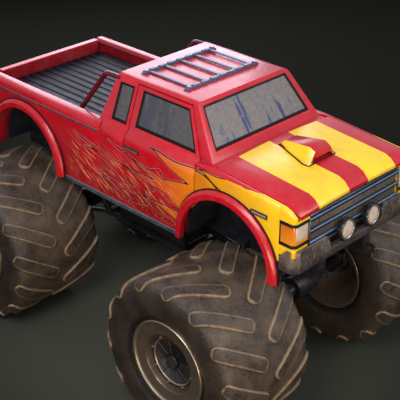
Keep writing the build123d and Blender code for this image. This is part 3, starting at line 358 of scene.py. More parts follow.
def realized(tree, given, geometry):
    """Makes copies real and gives them the tree's material."""
    real = tree.nodes.new("GeometryNodeRealizeInstances")
    tree.links.new(geometry, real.inputs[0])
    dressed = tree.nodes.new("GeometryNodeSetMaterial")
    tree.links.new(real.outputs[0], dressed.inputs["Geometry"])
    tree.links.new(given.outputs["Material"], dressed.inputs["Material"])
    return dressed.outputs[0]


def copies_on(tree, given, result, points, turned=None):
    """Puts a copy of the piece on each point and adds them all to the given geometry."""
    source = tree.nodes.new("GeometryNodeObjectInfo")
    tree.links.new(given.outputs["Piece"], source.inputs["Object"])
    copies = tree.nodes.new("GeometryNodeInstanceOnPoints")
    tree.links.new(points, copies.inputs["Points"])
    tree.links.new(source.outputs["Geometry"], copies.inputs["Instance"])
    if turned:
        tree.links.new(turned, copies.inputs["Rotation"])
    both = tree.nodes.new("GeometryNodeJoinGeometry")
    tree.links.new(realized(tree, given, copies.outputs[0]), both.inputs[0])
    tree.links.new(given.outputs["Geometry"], both.inputs[0])
    tree.links.new(both.outputs[0], result.inputs[0])


def ring_tree():
    """Geometry nodes: adds copies of a piece set out evenly round the wheel's axis."""
    tree, ids, given, result = mesh_tree(
        "ring of pieces", Piece="Object", Count="Int", Start="Float", Material="Material")
    points = tree.nodes.new("GeometryNodePoints")
    tree.links.new(given.outputs["Count"], points.inputs["Count"])
    index = tree.nodes.new("GeometryNodeInputIndex").outputs[0]
    share = maths(tree, "DIVIDE", index, given.outputs["Count"])
    about_y = add_node(tree, "CombineXYZ")
    turn = maths(tree, "MULTIPLY_ADD", share, 2 * math.pi, given.outputs["Start"])
    tree.links.new(turn, about_y.inputs["Y"])
    rotation = tree.nodes.new("FunctionNodeEulerToRotation")
    tree.links.new(about_y.outputs[0], rotation.inputs[0])
    copies_on(tree, given, result, points.outputs[0], rotation.outputs[0])
    return tree, ids


def settled(host):
    """Mesh of an object after its modifiers; the object is taken away."""
    view = bpy.context.evaluated_depsgraph_get()
    result = bpy.data.meshes.new_from_object(host.evaluated_get(view), depsgraph=view)
    host.modifiers.clear()
    bpy.data.objects.remove(host)
    return result


def grown(name, mesh, *steps):
    """Mesh after some geometry-node steps, each a tree, its socket identifiers and the inputs to set."""
    host = new_object(name, mesh)
    for tree, ids, inputs in steps:
        modifier = host.modifiers.new(tree.name, "NODES")
        modifier.node_group = tree
        for key, value in inputs.items():
            modifier[ids[key]] = value
    return settled(host)


def hidden_piece(name, mesh):
    """A pattern piece that only geometry nodes use."""
    piece = new_object(name, mesh)
    piece.hide_render = True
    piece.hide_viewport = True
    return piece


def place(tree, scale=(1, 1, 1), offset=(0, 0, 0), turn=(0, 0, 0)):
    """Object coordinates of a piece, set out and stretched."""
    at = add_node(tree, "TexCoord")
    mapping = add_node(tree, "Mapping")
    tree.links.new(at.outputs["Object"], mapping.inputs["Vector"])
    mapping.inputs["Location"].default_value = offset
    mapping.inputs["Rotation"].default_value = turn
    mapping.inputs["Scale"].default_value = scale
    return mapping.outputs[0]


def noise(tree, scale, detail=3, vector=None, rough=0.55):
    """Cloudy noise from 0 to 1, on the object's own coordinates where no other are given."""
    new = add_node(tree, "TexNoise")
    new.inputs["Scale"].default_value = scale
    new.inputs["Detail"].default_value = detail
    new.inputs["Roughness"].default_value = rough
    tree.links.new(vector or place(tree), new.inputs["Vector"])
    return new.outputs["Fac"]


def bumped(tree, shader, height, strength, distance):
    """Makes a surface look raised by a height."""
    bump = add_node(tree, "Bump")
    bump.inputs["Strength"].default_value = strength
    bump.inputs["Distance"].default_value = distance
    feed(tree, bump.inputs["Height"], height)
    feed(tree, shader.inputs["Normal"], bump.outputs[0])


def kept(tree, name):
    """Value that a mesh keeps for its corners."""
    return add_node(tree, "Attribute", attribute_name=name).outputs["Fac"]


def rubber():
    """Dark rubber with dust on the tread, edges rubbed pale, and a painted shadow next to the rim."""
    material, shader = new_material("tyre rubber", RUBBER, 0.62)
    shader.inputs["Specular IOR Level"].default_value = 0.38
    tree = material.node_tree
    dust = steps_between(tree, noise(tree, 5.0, 5), 0.38, 0.72)
    fine = steps_between(tree, noise(tree, 55.0, 4), 0.35, 0.75)
    share = maths(tree, "MULTIPLY_ADD", kept(tree, "crown"), 0.75, 0.25)
    base = mixed(tree, times(tree, dust, times(tree, share, 0.70)), RUBBER, RUBBER_DUST)
    base = mixed(tree, times(tree, fine, times(tree, share, 0.45)), base, RUBBER_DUST)
    worn = times(tree, kept(tree, "rubbed"), steps_between(tree, noise(tree, 18.0, 4), 0.20, 0.56))
    shade = mixed(tree, times(tree, worn, 0.80), base, RUBBER_RUBBED)
    # Painted shadow on the rubber round the bead, beside the rim
    feed(tree, shader.inputs["Base Color"], mixed(tree, kept(tree, "bead"), shade, BEAD_PAINTED_SHADOW))
    feed(tree, shader.inputs["Roughness"], maths(tree, "MULTIPLY_ADD", fine, 0.22, 0.27))
    scratched = noise(tree, 16.0, 5, place(tree, scale=(1.6, 6.0, 3.0), turn=(0.6, 0.5, 0.8)), 0.7)
    bumped(tree, shader, maths(tree, "ADD", noise(tree, 70.0, 5), scratched), 0.9, 0.009)
    return material


tyre_rubber = rubber()
ring, ring_ids = ring_tree()


def ring_of(piece, count, start, material):
    """Geometry-node step that adds a ring of a piece."""
    return ring, ring_ids, {"Piece": piece, "Count": count, "Start": start, "Material": material}


rows = []
for number, side in enumerate((1, -1)):
    tread_bar = hidden_piece(f"tread_bar_{number}", bar_mesh(side))
    rows.append(ring_of(tread_bar, BARS_PER_ROW, number * math.pi / BARS_PER_ROW, tyre_rubber))
carcass = turned_mesh("carcass", CARCASS + [(-y, r) for y, r in reversed(CARCASS)][:-1], 112)
carcass.materials.append(tyre_rubber)
# Painted shadow: full next to the rim, gone past BEAD_R
bead = [min(1.0, max(0.0, (BEAD_R - v.co.xz.length) / BEAD_FADE)) for v in carcass.vertices]
point_values(carcass, "bead", bead)
point_values(carcass, "crown", [on_crown(v.co.y) for v in carcass.vertices])
tyre_mesh = grown("tyre", carcass, *rows)
WHEELS = {
    name: ((low + high) / 2, 1 if low.y + high.y > 0 else -1)
    for name in ("front_left", "front_right", "rear_left", "rear_right")
    for low, high in [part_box(f"tyre_{name}")]
}
for name, (centre, side) in WHEELS.items():
    mesh = tyre_mesh.copy()
    mesh.transform(Matrix.Translation(centre))
    finished(f"lugged_tyre_{name}", mesh, f"wheel_{name}", replaced=[f"tyre_{name}"])

# ---- Rims ---------------------------------------------------------------------------------
# Spun steel barrels with a polished lip, a flat painted flange and a sunk dark centre that is
# bolted to the hub with eight studs.
RIM_LIP = (0.62, 0.50, 0.36)
RIM_PAINT = (0.150, 0.108, 0.076)
RIM_GRIME = (0.060, 0.045, 0.036)
RIM_CENTRE, CENTRE_BARE = (0.018, 0.016, 0.017), (0.12, 0.105, 0.09)
RING_GOLD, RING_WORN = (0.33, 0.245, 0.165), (0.11, 0.08, 0.06)
STUDS = 8
# Sections of the barrel, the disc and the hub cap: y outward from the wheel's middle, radius
RIM_BARREL = [
    (-0.498, 0.404), (-0.498, 0.436), (-0.492, 0.443), (0.500, 0.443), (0.509, 0.441),
    (0.512, 0.435), (0.511, 0.428), (0.505, 0.420), (0.492, 0.411), (0.486, 0.400), (0.484, 0.300),
    (0.481, 0.294), (0.472, 0.291), (0.432, 0.276), (0.390, 0.276), (0.390, 0.300), (0.440, 0.404),
]
RIM_DISC = [
    (0.380, 0.0602), (0.421, 0.0602), (0.421, 0.228), (0.430, 0.231), (0.434, 0.238),
    (0.434, 0.262), (0.430, 0.269), (0.422, 0.277), (0.392, 0.277), (0.380, 0.272),
]
HUB_CAP = [
    (0.421, 0.055), (0.421, 0.064), (0.432, 0.062), (0.438, 0.056), (0.436, 0.044), (0.441, 0.036),
    (0.441, 0.0), (0.425, 0.0),
]
STUD_R, STUD_START = 0.250, 0.2
# The polished lip lies beyond this y and radius
LIP_Y, LIP_R = 0.495, 0.412
# The disc is bright between the inner ring's radii and beyond the outer one
RING_INNER, RING_OUTER = (0.229, 0.239), 0.263
# Nut and stud: radius, length, y of the middle, sides
NUT_AND_STUD = [(0.0135, 0.014, 0.436, 6), (0.007, 0.022, 0.441, 8)]
# Rib of the disc: size, y and radius of its middle, rounding
SPOKE_SIZE, SPOKE_AT, SPOKE_EDGE = (0.009, 0.010, 0.150), (0.422, 0.150), 0.0025


def stud_mesh(side):
    """Hexagon nut on a stud, at the top of its circle."""
    shape = bmesh.new()
    for radius, depth, y, sides in NUT_AND_STUD:
        made = bmesh.ops.create_cone(
            shape, cap_ends=True, segments=sides, radius1=radius, radius2=radius * 0.92, depth=depth)
        bmesh.ops.rotate(shape, verts=made["verts"], matrix=Matrix.Rotation(-side * math.pi / 2, 3, "X"))
        bmesh.ops.translate(shape, verts=made["verts"], vec=(0, side * y, STUD_R))
    bmesh.ops.recalc_face_normals(shape, faces=shape.faces)
    return mesh_from("stud", shape)


def merged(name, meshes):
    """Several meshes as one, each keeping its materials."""
    shape, result, used = bmesh.new(), bpy.data.meshes.new(name), []
    for mesh in meshes:
        start = len(shape.faces)
        shape.from_mesh(mesh)
        shape.faces.ensure_lookup_table()
        for face in shape.faces[start:]:
            material = mesh.materials[face.material_index] if mesh.materials else None
            if material not in used:
                used.append(material)
            face.material_index = used.index(material)
    shape.to_mesh(result)
    shape.free()
    for material in used:
        if material:
            result.materials.append(material)
    return result


def spoke_mesh(side):
    """Low pressed rib that runs out over the disc."""
    shape = bmesh.new()
    bmesh.ops.create_cube(shape, size=1)
    bmesh.ops.scale(shape, verts=shape.verts, vec=SPOKE_SIZE)
    bmesh.ops.translate(shape, verts=shape.verts, vec=(0, side * SPOKE_AT[0], SPOKE_AT[1]))
    bmesh.ops.bevel(shape, geom=shape.edges, offset=SPOKE_EDGE, segments=1, affect="EDGES")
    return mesh_from("spoke", shape)


def worn_paint(name, colour, bare, rough, metal, amount, scale):
    """Paint that is scuffed through in small patches to a paler tone."""
    material, shader = new_material(name, colour, rough, metal)
    tree = material.node_tree
    patch = steps_between(tree, noise(tree, scale, 5, rough=0.7), 0.50, 0.72)
    feed(tree, shader.inputs["Base Color"], mixed(tree, times(tree, patch, amount), colour, bare))
    feed(tree, shader.inputs["Roughness"], maths(tree, "MULTIPLY_ADD", patch, 0.18, rough))
    bumped(tree, shader, patch, 0.12, 0.002)
    return material


def rim_finish():
    """Rim paint that turns to polished metal at the lip."""
    material, shader = new_material("rim steel", RIM_PAINT, 0.42, 0.35)
    tree = material.node_tree
    lip = kept(tree, "lip")
    patch = steps_between(tree, noise(tree, 13.0, 6, rough=0.75), 0.38, 0.66)
    paint = mixed(tree, times(tree, patch, 0.7), RIM_PAINT, RIM_GRIME)
    metal = mixed(tree, times(tree, patch, 0.55), RIM_LIP, RIM_PAINT)
    feed(tree, shader.inputs["Base Color"], mixed(tree, lip, paint, metal))
    feed(tree, shader.inputs["Metallic"], maths(tree, "MULTIPLY_ADD", lip, 0.35, 0.60))
    feed(tree, shader.inputs["Roughness"], maths(tree, "MULTIPLY_ADD", patch, 0.2, 0.28))
    return material


rim_steel = rim_finish()
rim_dark = worn_paint("rim centre paint", RIM_CENTRE, CENTRE_BARE, 0.38, 0.3, 0.5, 40.0)
ring_gold = worn_paint("rim ring", RING_GOLD, RING_WORN, 0.3, 0.7, 0.6, 40.0)
for name, (centre, side) in WHEELS.items():
    barrel = turned_mesh("barrel", [(side * y, r) for y, r in RIM_BARREL], 96)
    polished = [float(side * v.co.y > LIP_Y and v.co.xz.length > LIP_R) for v in barrel.vertices]
    point_values(barrel, "lip", polished)
    barrel.transform(Matrix.Translation(centre))
    finished(f"rim_barrel_{name}", barrel, f"wheel_{name}", rim_steel, [f"rim_{name}"])
    stud = hidden_piece(f"stud_{name}", stud_mesh(side))
    disc = turned_mesh("disc", [(side * y, r) for y, r in RIM_DISC], 72)
    spoke = hidden_piece(f"spoke_{name}", spoke_mesh(side))
    disc.materials.append(rim_dark)
    disc.materials.append(ring_gold)
    for face in disc.polygons:
        out = math.hypot(face.center.x, face.center.z)
        face.material_index = int(RING_INNER[0] < out < RING_INNER[1] or out > RING_OUTER)
    disc = merged("disc", [disc, turned_mesh("cap", [(side * y, r) for y, r in HUB_CAP], 32)])
    spokes = ring_of(spoke, STUDS, STUD_START + math.pi / STUDS, rim_dark)
    disc = grown("disc", disc, spokes, ring_of(stud, STUDS, STUD_START, ring_gold))
    disc.transform(Matrix.Translation(centre))
    finished(f"rim_centre_{name}", disc, f"wheel_{name}")

# ---- Body panels --------------------------------------------------------------------------
# Pressed steel cab, wings, nose, bed and tailgate under gloss paint, with flames sprayed back
# from the nose over the doors. The pressings' edges are rolled over, not sharp.
PANEL_EDGE = {
    "cab_shell": 0.018, "door_left": 0.005, "door_right": 0.005, "front_wings": 0.006, "fascia": 0.006,
    "cargo_bed": 0.014, "tailgate": 0.010,
}
# Faces of the CAD mesh that meet at less than this are one flat face
FLAT_ANGLE = math.radians(0.5)
PAINT_RED = (0.520, 0.004, 0.014)
PAINT_SHADED_RED = (0.300, 0.002, 0.010)
FLAME_YELLOW = (0.940, 0.560, 0.010)
FLAME_ORANGE = (0.720, 0.170, 0.006)
FLAME_LINE = (0.010, 0.008, 0.010)
FLAME_EDGE = (0.80, 0.72, 0.66)
BED_PAINTED_SHADE = (0.230, 0.004, 0.008)
CHIN_BLACK = (0.018, 0.016, 0.016)
PAINT_DUST_AND_SHEEN = (0.42, 0.10, 0.10)
SPARK_ORANGE = (0.95, 0.45, 0.16)
DRAWN_LINE = (0.04, 0.003, 0.005)
FLAME_ROOT_X, FLAME_FADE_X, FLAME_END_X = 1.95, 0.95, 0.40
FLAME_TOP_Z = 2.385
SIDE_HALF = 0.80
# Flames go round the nose below this height, and painted shade darkens the red from the first height to the
# second
NOSE_FLAME_Z, PAINTED_SHADE_Z = 2.30, (2.20, 1.72)
# Dark and white lines along a flame's edge, and the line and painted glow of a drawn tongue
EDGE_LINE, WHITE_LINE = (-0.0060, 0.0060), (0.006, 0.0095)
DRAWN_WIDTH, GLOW_LINE = (-0.0048, 0.0048), (0.003, 0.009)
# Inside of the bed, painted in shade: x from and to, half-width, top
BED_X, BED_HALF, BED_TOP_Z = (-2.118, -0.25), 0.745, 2.400
# Black chin under the grille and black foot of the nose: edge height, half-width, x
CHIN_Z, CHIN_HALF, CHIN_X = 1.974, 0.66, 2.0
FOOT_Z, FOOT_X = 1.840, 1.98
# Sparks behind the flames: x and z from and to, their lean and stretch
SPARK_X, SPARK_Z = (-0.75, 0.86), (1.66, 2.12)
SPARK_LEAN, SPARK_STRETCH = math.radians(-30), (1.7, 1.0, 46.0)
# Filled tongues: root x, root z, tip x, tip z, half-width at the root, bend, taper
FLAME_TONGUES = [
    (2.35, 1.84, 0.80, 1.985, 0.34, 0.00, 0.34), (2.30, 2.03, 0.60, 2.10, 0.30, 0.03, 0.60),
    (1.30, 2.10, 0.42, 2.345, 0.16, -0.08, 1.15), (1.10, 2.00, 0.20, 2.215, 0.12, 0.08, 1.15),
    (1.10, 1.90, 0.05, 2.040, 0.10, -0.07, 1.15), (1.10, 1.83, 0.30, 1.850, 0.09, 0.05, 1.15),
    (1.66, 2.20, 1.08, 2.372, 0.15, -0.07, 1.15), (2.06, 2.18, 1.42, 2.378, 0.19, -0.08, 1.15),
    (2.40, 2.18, 1.78, 2.385, 0.22, -0.07, 1.15),
]
# Tongues drawn in line only, farther back
LINE_TONGUES = [
    (0.42, 2.00, -0.66, 2.235, 0.085, 0.10, 1.15), (0.30, 1.90, -0.52, 2.060, 0.065, -0.08, 1.15),
    (0.55, 2.14, -0.14, 2.300, 0.065, 0.07, 1.15), (0.35, 1.80, -0.36, 1.900, 0.060, 0.07, 1.15),
]


def tongue_group():
    """Distance to the outline of one flame tongue that runs along its own X axis."""
    kinds = {"Vector": "Vector", "Length": "Float", "Width": "Float", "Bend": "Float", "Taper": "Float"}
    tree, _, given, result = open_tree("ShaderNodeTree", "flame tongue", kinds, {"Distance": "Float"})
    apart = add_node(tree, "SeparateXYZ")
    tree.links.new(given.outputs["Vector"], apart.inputs[0])
    along, across = apart.outputs["X"], apart.outputs["Z"]
    share = maths(tree, "DIVIDE", along, given.outputs["Length"], clamp=True)
    rest = maths(tree, "SUBTRACT", 1.0, share)
    bend = given.outputs["Bend"]
    swing = times(tree, times(tree, share, rest), times(tree, bend, 4.0))
    curl = times(tree, maths(tree, "SINE", times(tree, share, 7.5)), times(tree, bend, 0.35))
    beside = maths(tree, "SUBTRACT", across, maths(tree, "ADD", swing, curl))
    beyond = maths(tree, "SUBTRACT", along, times(tree, share, given.outputs["Length"]))
    squares = maths(tree, "ADD", times(tree, beside, beside), times(tree, beyond, beyond))
    reach = maths(tree, "SQRT", squares)
    half = times(tree, maths(tree, "POWER", rest, given.outputs["Taper"]), given.outputs["Width"])
    tree.links.new(maths(tree, "SUBTRACT", reach, half), result.inputs["Distance"])
    return tree


tongue = tongue_group()


def tongues(tree, table, join):
    """Signed distance to a set of tongues, their roots run together."""
    total = None
    for root_x, root_z, tip_x, tip_z, width, bend, taper in table:
        one = add_node(tree, "Group", node_tree=tongue)
        lean = math.atan2(tip_z - root_z, tip_x - root_x)
        frame_at = add_node(tree, "Mapping", vector_type="TEXTURE")
        tree.links.new(add_node(tree, "TexCoord").outputs["Object"], frame_at.inputs["Vector"])
        frame_at.inputs["Location"].default_value = (root_x, 0, root_z)
        frame_at.inputs["Rotation"].default_value = (0, -lean, 0)
        tree.links.new(frame_at.outputs[0], one.inputs["Vector"])
        one.inputs["Length"].default_value = math.hypot(tip_x - root_x, tip_z - root_z)
        one.inputs["Width"].default_value = width
        one.inputs["Bend"].default_value = bend
        one.inputs["Taper"].default_value = taper
        near = one.outputs[0]
        total = near if total is None else maths(tree, "SMOOTH_MIN", total, near, join)
    return total


def dust_group():
    """Dull patches and specks that road dust leaves on a surface."""
    kinds = {"Colour": "Color", "Dust": "Color", "Amount": "Float", "Scale": "Float"}
    gives = {"Colour": "Color", "Mask": "Float"}
    tree, _, given, result = open_tree("ShaderNodeTree", "road dust", kinds, gives)
    at = add_node(tree, "TexCoord")
    wide = add_node(tree, "TexNoise")
    wide.inputs["Detail"].default_value = 6
    wide.inputs["Roughness"].default_value = 0.68
    tree.links.new(at.outputs["Object"], wide.inputs["Vector"])
    tree.links.new(given.outputs["Scale"], wide.inputs["Scale"])
    patch = steps_between(tree, wide.outputs["Fac"], 0.44, 0.72)
    mask = times(tree, patch, given.outputs["Amount"])
    colour = mixed(tree, mask, given.outputs["Colour"], given.outputs["Dust"])
    tree.links.new(colour, result.inputs["Colour"])
    tree.links.new(mask, result.inputs["Mask"])
    return tree


road_dust = dust_group()


def dusty(tree, colour, dust, amount, scale):
    """Colour with dust over it, and the dust's mask."""
    one = add_node(tree, "Group", node_tree=road_dust)
    feed(tree, one.inputs["Colour"], colour)
    feed(tree, one.inputs["Dust"], dust)
    one.inputs["Amount"].default_value = amount
    one.inputs["Scale"].default_value = scale
    return one.outputs["Colour"], one.outputs["Mask"]


def object_axes(tree):
    """X, Y and Z of the place on the piece."""
    apart = add_node(tree, "SeparateXYZ")
    tree.links.new(add_node(tree, "TexCoord").outputs["Object"], apart.inputs[0])
    return apart.outputs["X"], apart.outputs["Y"], apart.outputs["Z"]


def band(tree, value, low, high, soft=0.0012):
    """1 between two values and 0 outside them."""
    up = steps_between(tree, value, low - soft, low + soft)
    down = steps_between(tree, value, high + soft, high - soft)
    return times(tree, up, down)


def finish_paint(material, shader, colour):
    """Gloss, pale pink dust that also serves as a painted sheen, and faint orange peel over a painted
    colour.
    """
    tree = material.node_tree
    # Dust patches whose pale pink also stands in for a painted sheen
    shade, mask = dusty(tree, colour, PAINT_DUST_AND_SHEEN, 0.16, 9.0)
    patch = steps_between(tree, noise(tree, 2.4, 6, rough=0.7), 0.47, 0.68)
    tone = add_node(tree, "HueSaturation")
    feed(tree, tone.inputs["Value"], maths(tree, "MULTIPLY_ADD", patch, -0.15, 1.0))
    feed(tree, tone.inputs["Color"], shade)
    feed(tree, shader.inputs["Base Color"], tone.outputs[0])
    feed(tree, shader.inputs["Roughness"], maths(tree, "MULTIPLY_ADD", mask, 1.0, 0.28))
    shader.inputs["Specular IOR Level"].default_value = 0.35
    shader.inputs["Coat Weight"].default_value = 0.45
    shader.inputs["Coat Roughness"].default_value = 0.22
    bumped(tree, shader, noise(tree, 160.0, 3), 0.05, 0.002)
    return material


def within(tree, value, half):
    """1 where a value lies less than a half-width from 0."""
    return maths(tree, "LESS_THAN", maths(tree, "ABSOLUTE", value), half)


def body_paint():
    """Red with flames, sparks and drawn lines on the sides, painted shade low on the flanks and inside the
    bed, and a black chin and foot to the nose.
    """
    material, shader = new_material("body paint")
    tree = material.node_tree
    x, y, z = object_axes(tree)
    on_side = maths(tree, "GREATER_THAN", maths(tree, "ABSOLUTE", y), SIDE_HALF)
    on_side = times(tree, on_side, maths(tree, "LESS_THAN", z, FLAME_TOP_Z + 0.02))
    ahead = maths(tree, "GREATER_THAN", x, FLAME_ROOT_X + 0.2)
    round_nose = times(tree, ahead, maths(tree, "LESS_THAN", z, NOSE_FLAME_Z))
    on_flank = maths(tree, "MAXIMUM", on_side, round_nose)
    fire = tongues(tree, FLAME_TONGUES, 0.022)
    inside = times(tree, steps_between(tree, fire, 0.001, -0.001), on_flank)
    heat = mixed(tree, steps_between(tree, x, FLAME_ROOT_X, FLAME_FADE_X), FLAME_YELLOW, FLAME_ORANGE)
    to_red = steps_between(tree, x, FLAME_FADE_X, FLAME_END_X)
    heat = mixed(tree, times(tree, to_red, 0.80), heat, PAINT_RED)
    # Painted shade: the red darkens towards the bottom of the sides
    low = steps_between(tree, z, *PAINTED_SHADE_Z)
    red = mixed(tree, times(tree, low, 0.85), PAINT_RED, PAINT_SHADED_RED)
    colour = mixed(tree, inside, red, heat)
    # Painted shade on the walls inside the bed
    bed_shade_mask = times(tree, band(tree, x, *BED_X), within(tree, y, BED_HALF))
    bed_shade_mask = times(tree, bed_shade_mask, maths(tree, "LESS_THAN", z, BED_TOP_Z))
    colour = mixed(tree, bed_shade_mask, colour, BED_PAINTED_SHADE)
    # Mapping stretches before it turns, so the lean and the stretch are two nodes
    stretch = add_node(tree, "Mapping")
    feed(tree, stretch.inputs["Vector"], place(tree, turn=(0, SPARK_LEAN, 0)))
    stretch.inputs["Scale"].default_value = SPARK_STRETCH
    streak = steps_between(tree, noise(tree, 2.4, 3, stretch.outputs[0], 0.5), 0.585, 0.625)
    where = times(tree, band(tree, x, *SPARK_X, 0.12), band(tree, z, *SPARK_Z, 0.09))
    where = times(tree, where, on_side)
    colour = mixed(tree, times(tree, streak, where), colour, SPARK_ORANGE)
    white = times(tree, band(tree, fire, *WHITE_LINE), on_side)
    colour = mixed(tree, times(tree, white, steps_between(tree, x, 0.2, 1.9)), colour, FLAME_EDGE)
    colour = mixed(tree, times(tree, band(tree, fire, *EDGE_LINE), on_side), colour, FLAME_LINE)
    drawn = tongues(tree, LINE_TONGUES, 0.03)
    drawn = maths(tree, "MAXIMUM", drawn, times(tree, fire, -1.0))
    # Painted highlight: a pale glow beside each drawn line
    painted_halo = times(tree, band(tree, drawn, *GLOW_LINE), on_side)
    colour = mixed(tree, times(tree, painted_halo, 0.35), colour, FLAME_EDGE)
    line = times(tree, band(tree, drawn, *DRAWN_WIDTH), on_side)
    colour = mixed(tree, times(tree, line, 0.9), colour, DRAWN_LINE)
    chin = times(tree, steps_between(tree, z, CHIN_Z + 0.002, CHIN_Z - 0.002), within(tree, y, CHIN_HALF))
    chin = times(tree, chin, maths(tree, "GREATER_THAN", x, CHIN_X))
    foot = maths(tree, "GREATER_THAN", x, FOOT_X)
    foot = times(tree, foot, steps_between(tree, z, FOOT_Z + 0.002, FOOT_Z - 0.002))
    colour = mixed(tree, maths(tree, "MAXIMUM", chin, foot), colour, CHIN_BLACK)
    return finish_paint(material, shader, colour)


def rounded(name, width, sharp=35, steps=3):
    """Copy of a CAD node with its loose triangles merged and its edges rolled over."""
    shape = bmesh.new()
    shape.from_mesh(cad[name].data)
    bmesh.ops.remove_doubles(shape, verts=shape.verts, dist=1e-5)
    bmesh.ops.dissolve_limit(
        shape, angle_limit=FLAT_ANGLE, use_dissolve_boundaries=False, verts=shape.verts, edges=shape.edges)
    host = new_object(name, mesh_from(name, shape, smooth=True))
    bevel = host.modifiers.new("rolled edge", "BEVEL")
    bevel.width = width
    bevel.segments = steps
    bevel.limit_method = "ANGLE"
    bevel.angle_limit = math.radians(sharp)
    bevel.harden_normals = True
    return settled(host)


def casing(node, piece, width, finish, sharp=35):
    """A CAD node with its edges rolled over, finished on its own body as a piece of another name."""
    return finished(piece, rounded(node, width, sharp), cad[node]["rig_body"], finish, [node])


flame_paint = body_paint()
for name, width in PANEL_EDGE.items():
    casing(name, f"{name}_skin", width, flame_paint)

# ---- Bonnet -------------------------------------------------------------------------------
# One pressed panel with a welded air scoop. Two broad yellow stripes run back over it, and the
# scoop's flanks are yellow beside its red top.
STRIPE_YELLOW = (0.960, 0.610, 0.020)
STRIPE_NEAR = (-0.520, -0.105)
STRIPE_FAR = (0.165, 0.580)
# Scoop: x from and to, half-width, and the line z = SCOOP_Z - SCOOP_FALL x that it rises from
SCOOP_X, SCOOP_HALF = (1.385, 1.835), 0.215
SCOOP_Z, SCOOP_FALL = 2.604, 0.0805
# A face counts as a flank from this sideways lean of its normal
FLANK_LEAN = (0.42, 0.47)
# Rolled lip over the scoop's mouth: distance ahead of LIP_X, half-width, drop
LIP_X, LIP_DROP = 1.821, 0.006
SCOOP_LIP = [
    (0.0, 0.097, 0.0), (0.006, 0.100, -0.020), (0.010, 0.108, -0.052), (0.004, 0.108, -0.052),
    (-0.002, 0.098, -0.014),
]


def bonnet_paint():
    """Red with two stripes, and a scoop that is yellow on its flanks alone."""
    material, shader = new_material("bonnet paint")
    tree = material.node_tree
    x, y, z = object_axes(tree)
    stripes = maths(tree, "ADD", band(tree, y, *STRIPE_NEAR), band(tree, y, *STRIPE_FAR))
    facing = add_node(tree, "SeparateXYZ")
    feed(tree, facing.inputs[0], add_node(tree, "TexCoord").outputs["Normal"])
    turned_out = steps_between(tree, maths(tree, "ABSOLUTE", facing.outputs["Y"]), *FLANK_LEAN)
    near_scoop = times(tree, band(tree, x, *SCOOP_X), band(tree, y, -SCOOP_HALF, SCOOP_HALF))
    height = maths(tree, "ADD", z, times(tree, x, SCOOP_FALL))
    scoop = times(tree, near_scoop, steps_between(tree, height, SCOOP_Z, SCOOP_Z + 0.003))
    beside = times(tree, stripes, maths(tree, "SUBTRACT", 1.0, scoop))
    yellow = maths(tree, "MAXIMUM", beside, times(tree, scoop, turned_out))
    return finish_paint(material, shader, mixed(tree, yellow, PAINT_RED, STRIPE_YELLOW))


bonnet_skin = casing("bonnet", "bonnet_skin", 0.006, bonnet_paint()).data
scoop_top = max(v.co.z for v in bonnet_skin.vertices if 1.81 < v.co.x < 1.83)
lip_z = scoop_top - LIP_DROP
corners = [(LIP_X + out, side * half, lip_z + drop) for side in (1, -1) for out, half, drop in SCOOP_LIP]
count = len(SCOOP_LIP)
faces = [*joined(0, count, count), tuple(range(count)), tuple(range(count, 2 * count))]
lip_mesh = mesh_of("scoop lip", corners, faces, smooth=False)
scoop_red = new_material("scoop lip paint")
finished("scoop_lip", lip_mesh, "bonnet", finish_paint(*scoop_red, PAINT_RED))

# ---- Arch flares --------------------------------------------------------------------------
# Moulded lips in body red over the four wheel arches, screwed to the panels on black rubber
# piping. Their edges are rolled over.
flare_paint = finish_paint(*new_material("flare paint"), PAINT_RED)
for name in ("flares_front", "flares_rear"):
    casing(name, f"{name}_skin", 0.007, flare_paint, 28)

# ---- Rubber piping ------------------------------------------------------------------------
# A round bead of black rubber pressed into the joint between each flare and its panel, and
# another round the foot of the bonnet's scoop.
RUBBER_BLACK = (0.004, 0.004, 0.005)
PIPING_R, SCOOP_PIPING_R = 0.0085, 0.007
FLARE_LINE_Y = 0.843
FLARE_STEPS = 48
FLARE_REACH = 0.634
FLARE_FOOT_Z = 1.604
ARCH_Z = 1.640
ARCH_CENTRES = (1.434, -1.498)
SCOOP_FOOT = [(1.388, 0.086), (1.456, 0.106), (1.762, 0.198), (1.824, 0.189)]


def tube_mesh(name, path, radius, sides=8):
    """Round bead swept along a path of points, its ends capped."""
    points = [Vector(p) for p in path]
    count = len(points)
    corners, faces = [], []
    for i, point in enumerate(points):
        run = (points[min(i + 1, count - 1)] - points[max(i - 1, 0)]).normalized()
        up = Vector((0, 0, 1)) if abs(run.z) < 0.9 else Vector((1, 0, 0))
        aside = run.cross(up).normalized()
        up = aside.cross(run)
        for step in range(sides):
            angle = 2 * math.pi * step / sides
            corners.append(point + radius * (math.cos(angle) * aside + math.sin(angle) * up))
    for i in range(count - 1):
        faces += joined(i * sides, (i + 1) * sides, sides)
    faces += [tuple(range(sides)), tuple((count - 1) * sides + step for step in range(sides))]
    return mesh_of(name, corners, faces)


def flipped(mesh):
    """The same mesh for the truck's other side."""
    other = mesh.copy()
    other.transform(Matrix.Diagonal((1, -1, 1, 1)))
    other.flip_normals()
    return other


def both_sides(name, *meshes):
    """Meshes of one side and their mirror images as one."""
    return merged(name, [*meshes, *map(flipped, meshes)])


def flare_line(centre_x, y):
    """Line round one arch, from foot to foot."""
    path = [(centre_x - FLARE_REACH, y, FLARE_FOOT_Z)]
    for step in range(FLARE_STEPS + 1):
        angle = math.pi * (1 - step / FLARE_STEPS)
        path.append((centre_x + FLARE_REACH * math.cos(angle), y, ARCH_Z + FLARE_REACH * math.sin(angle)))
    return path + [(centre_x + FLARE_REACH, y, FLARE_FOOT_Z)]


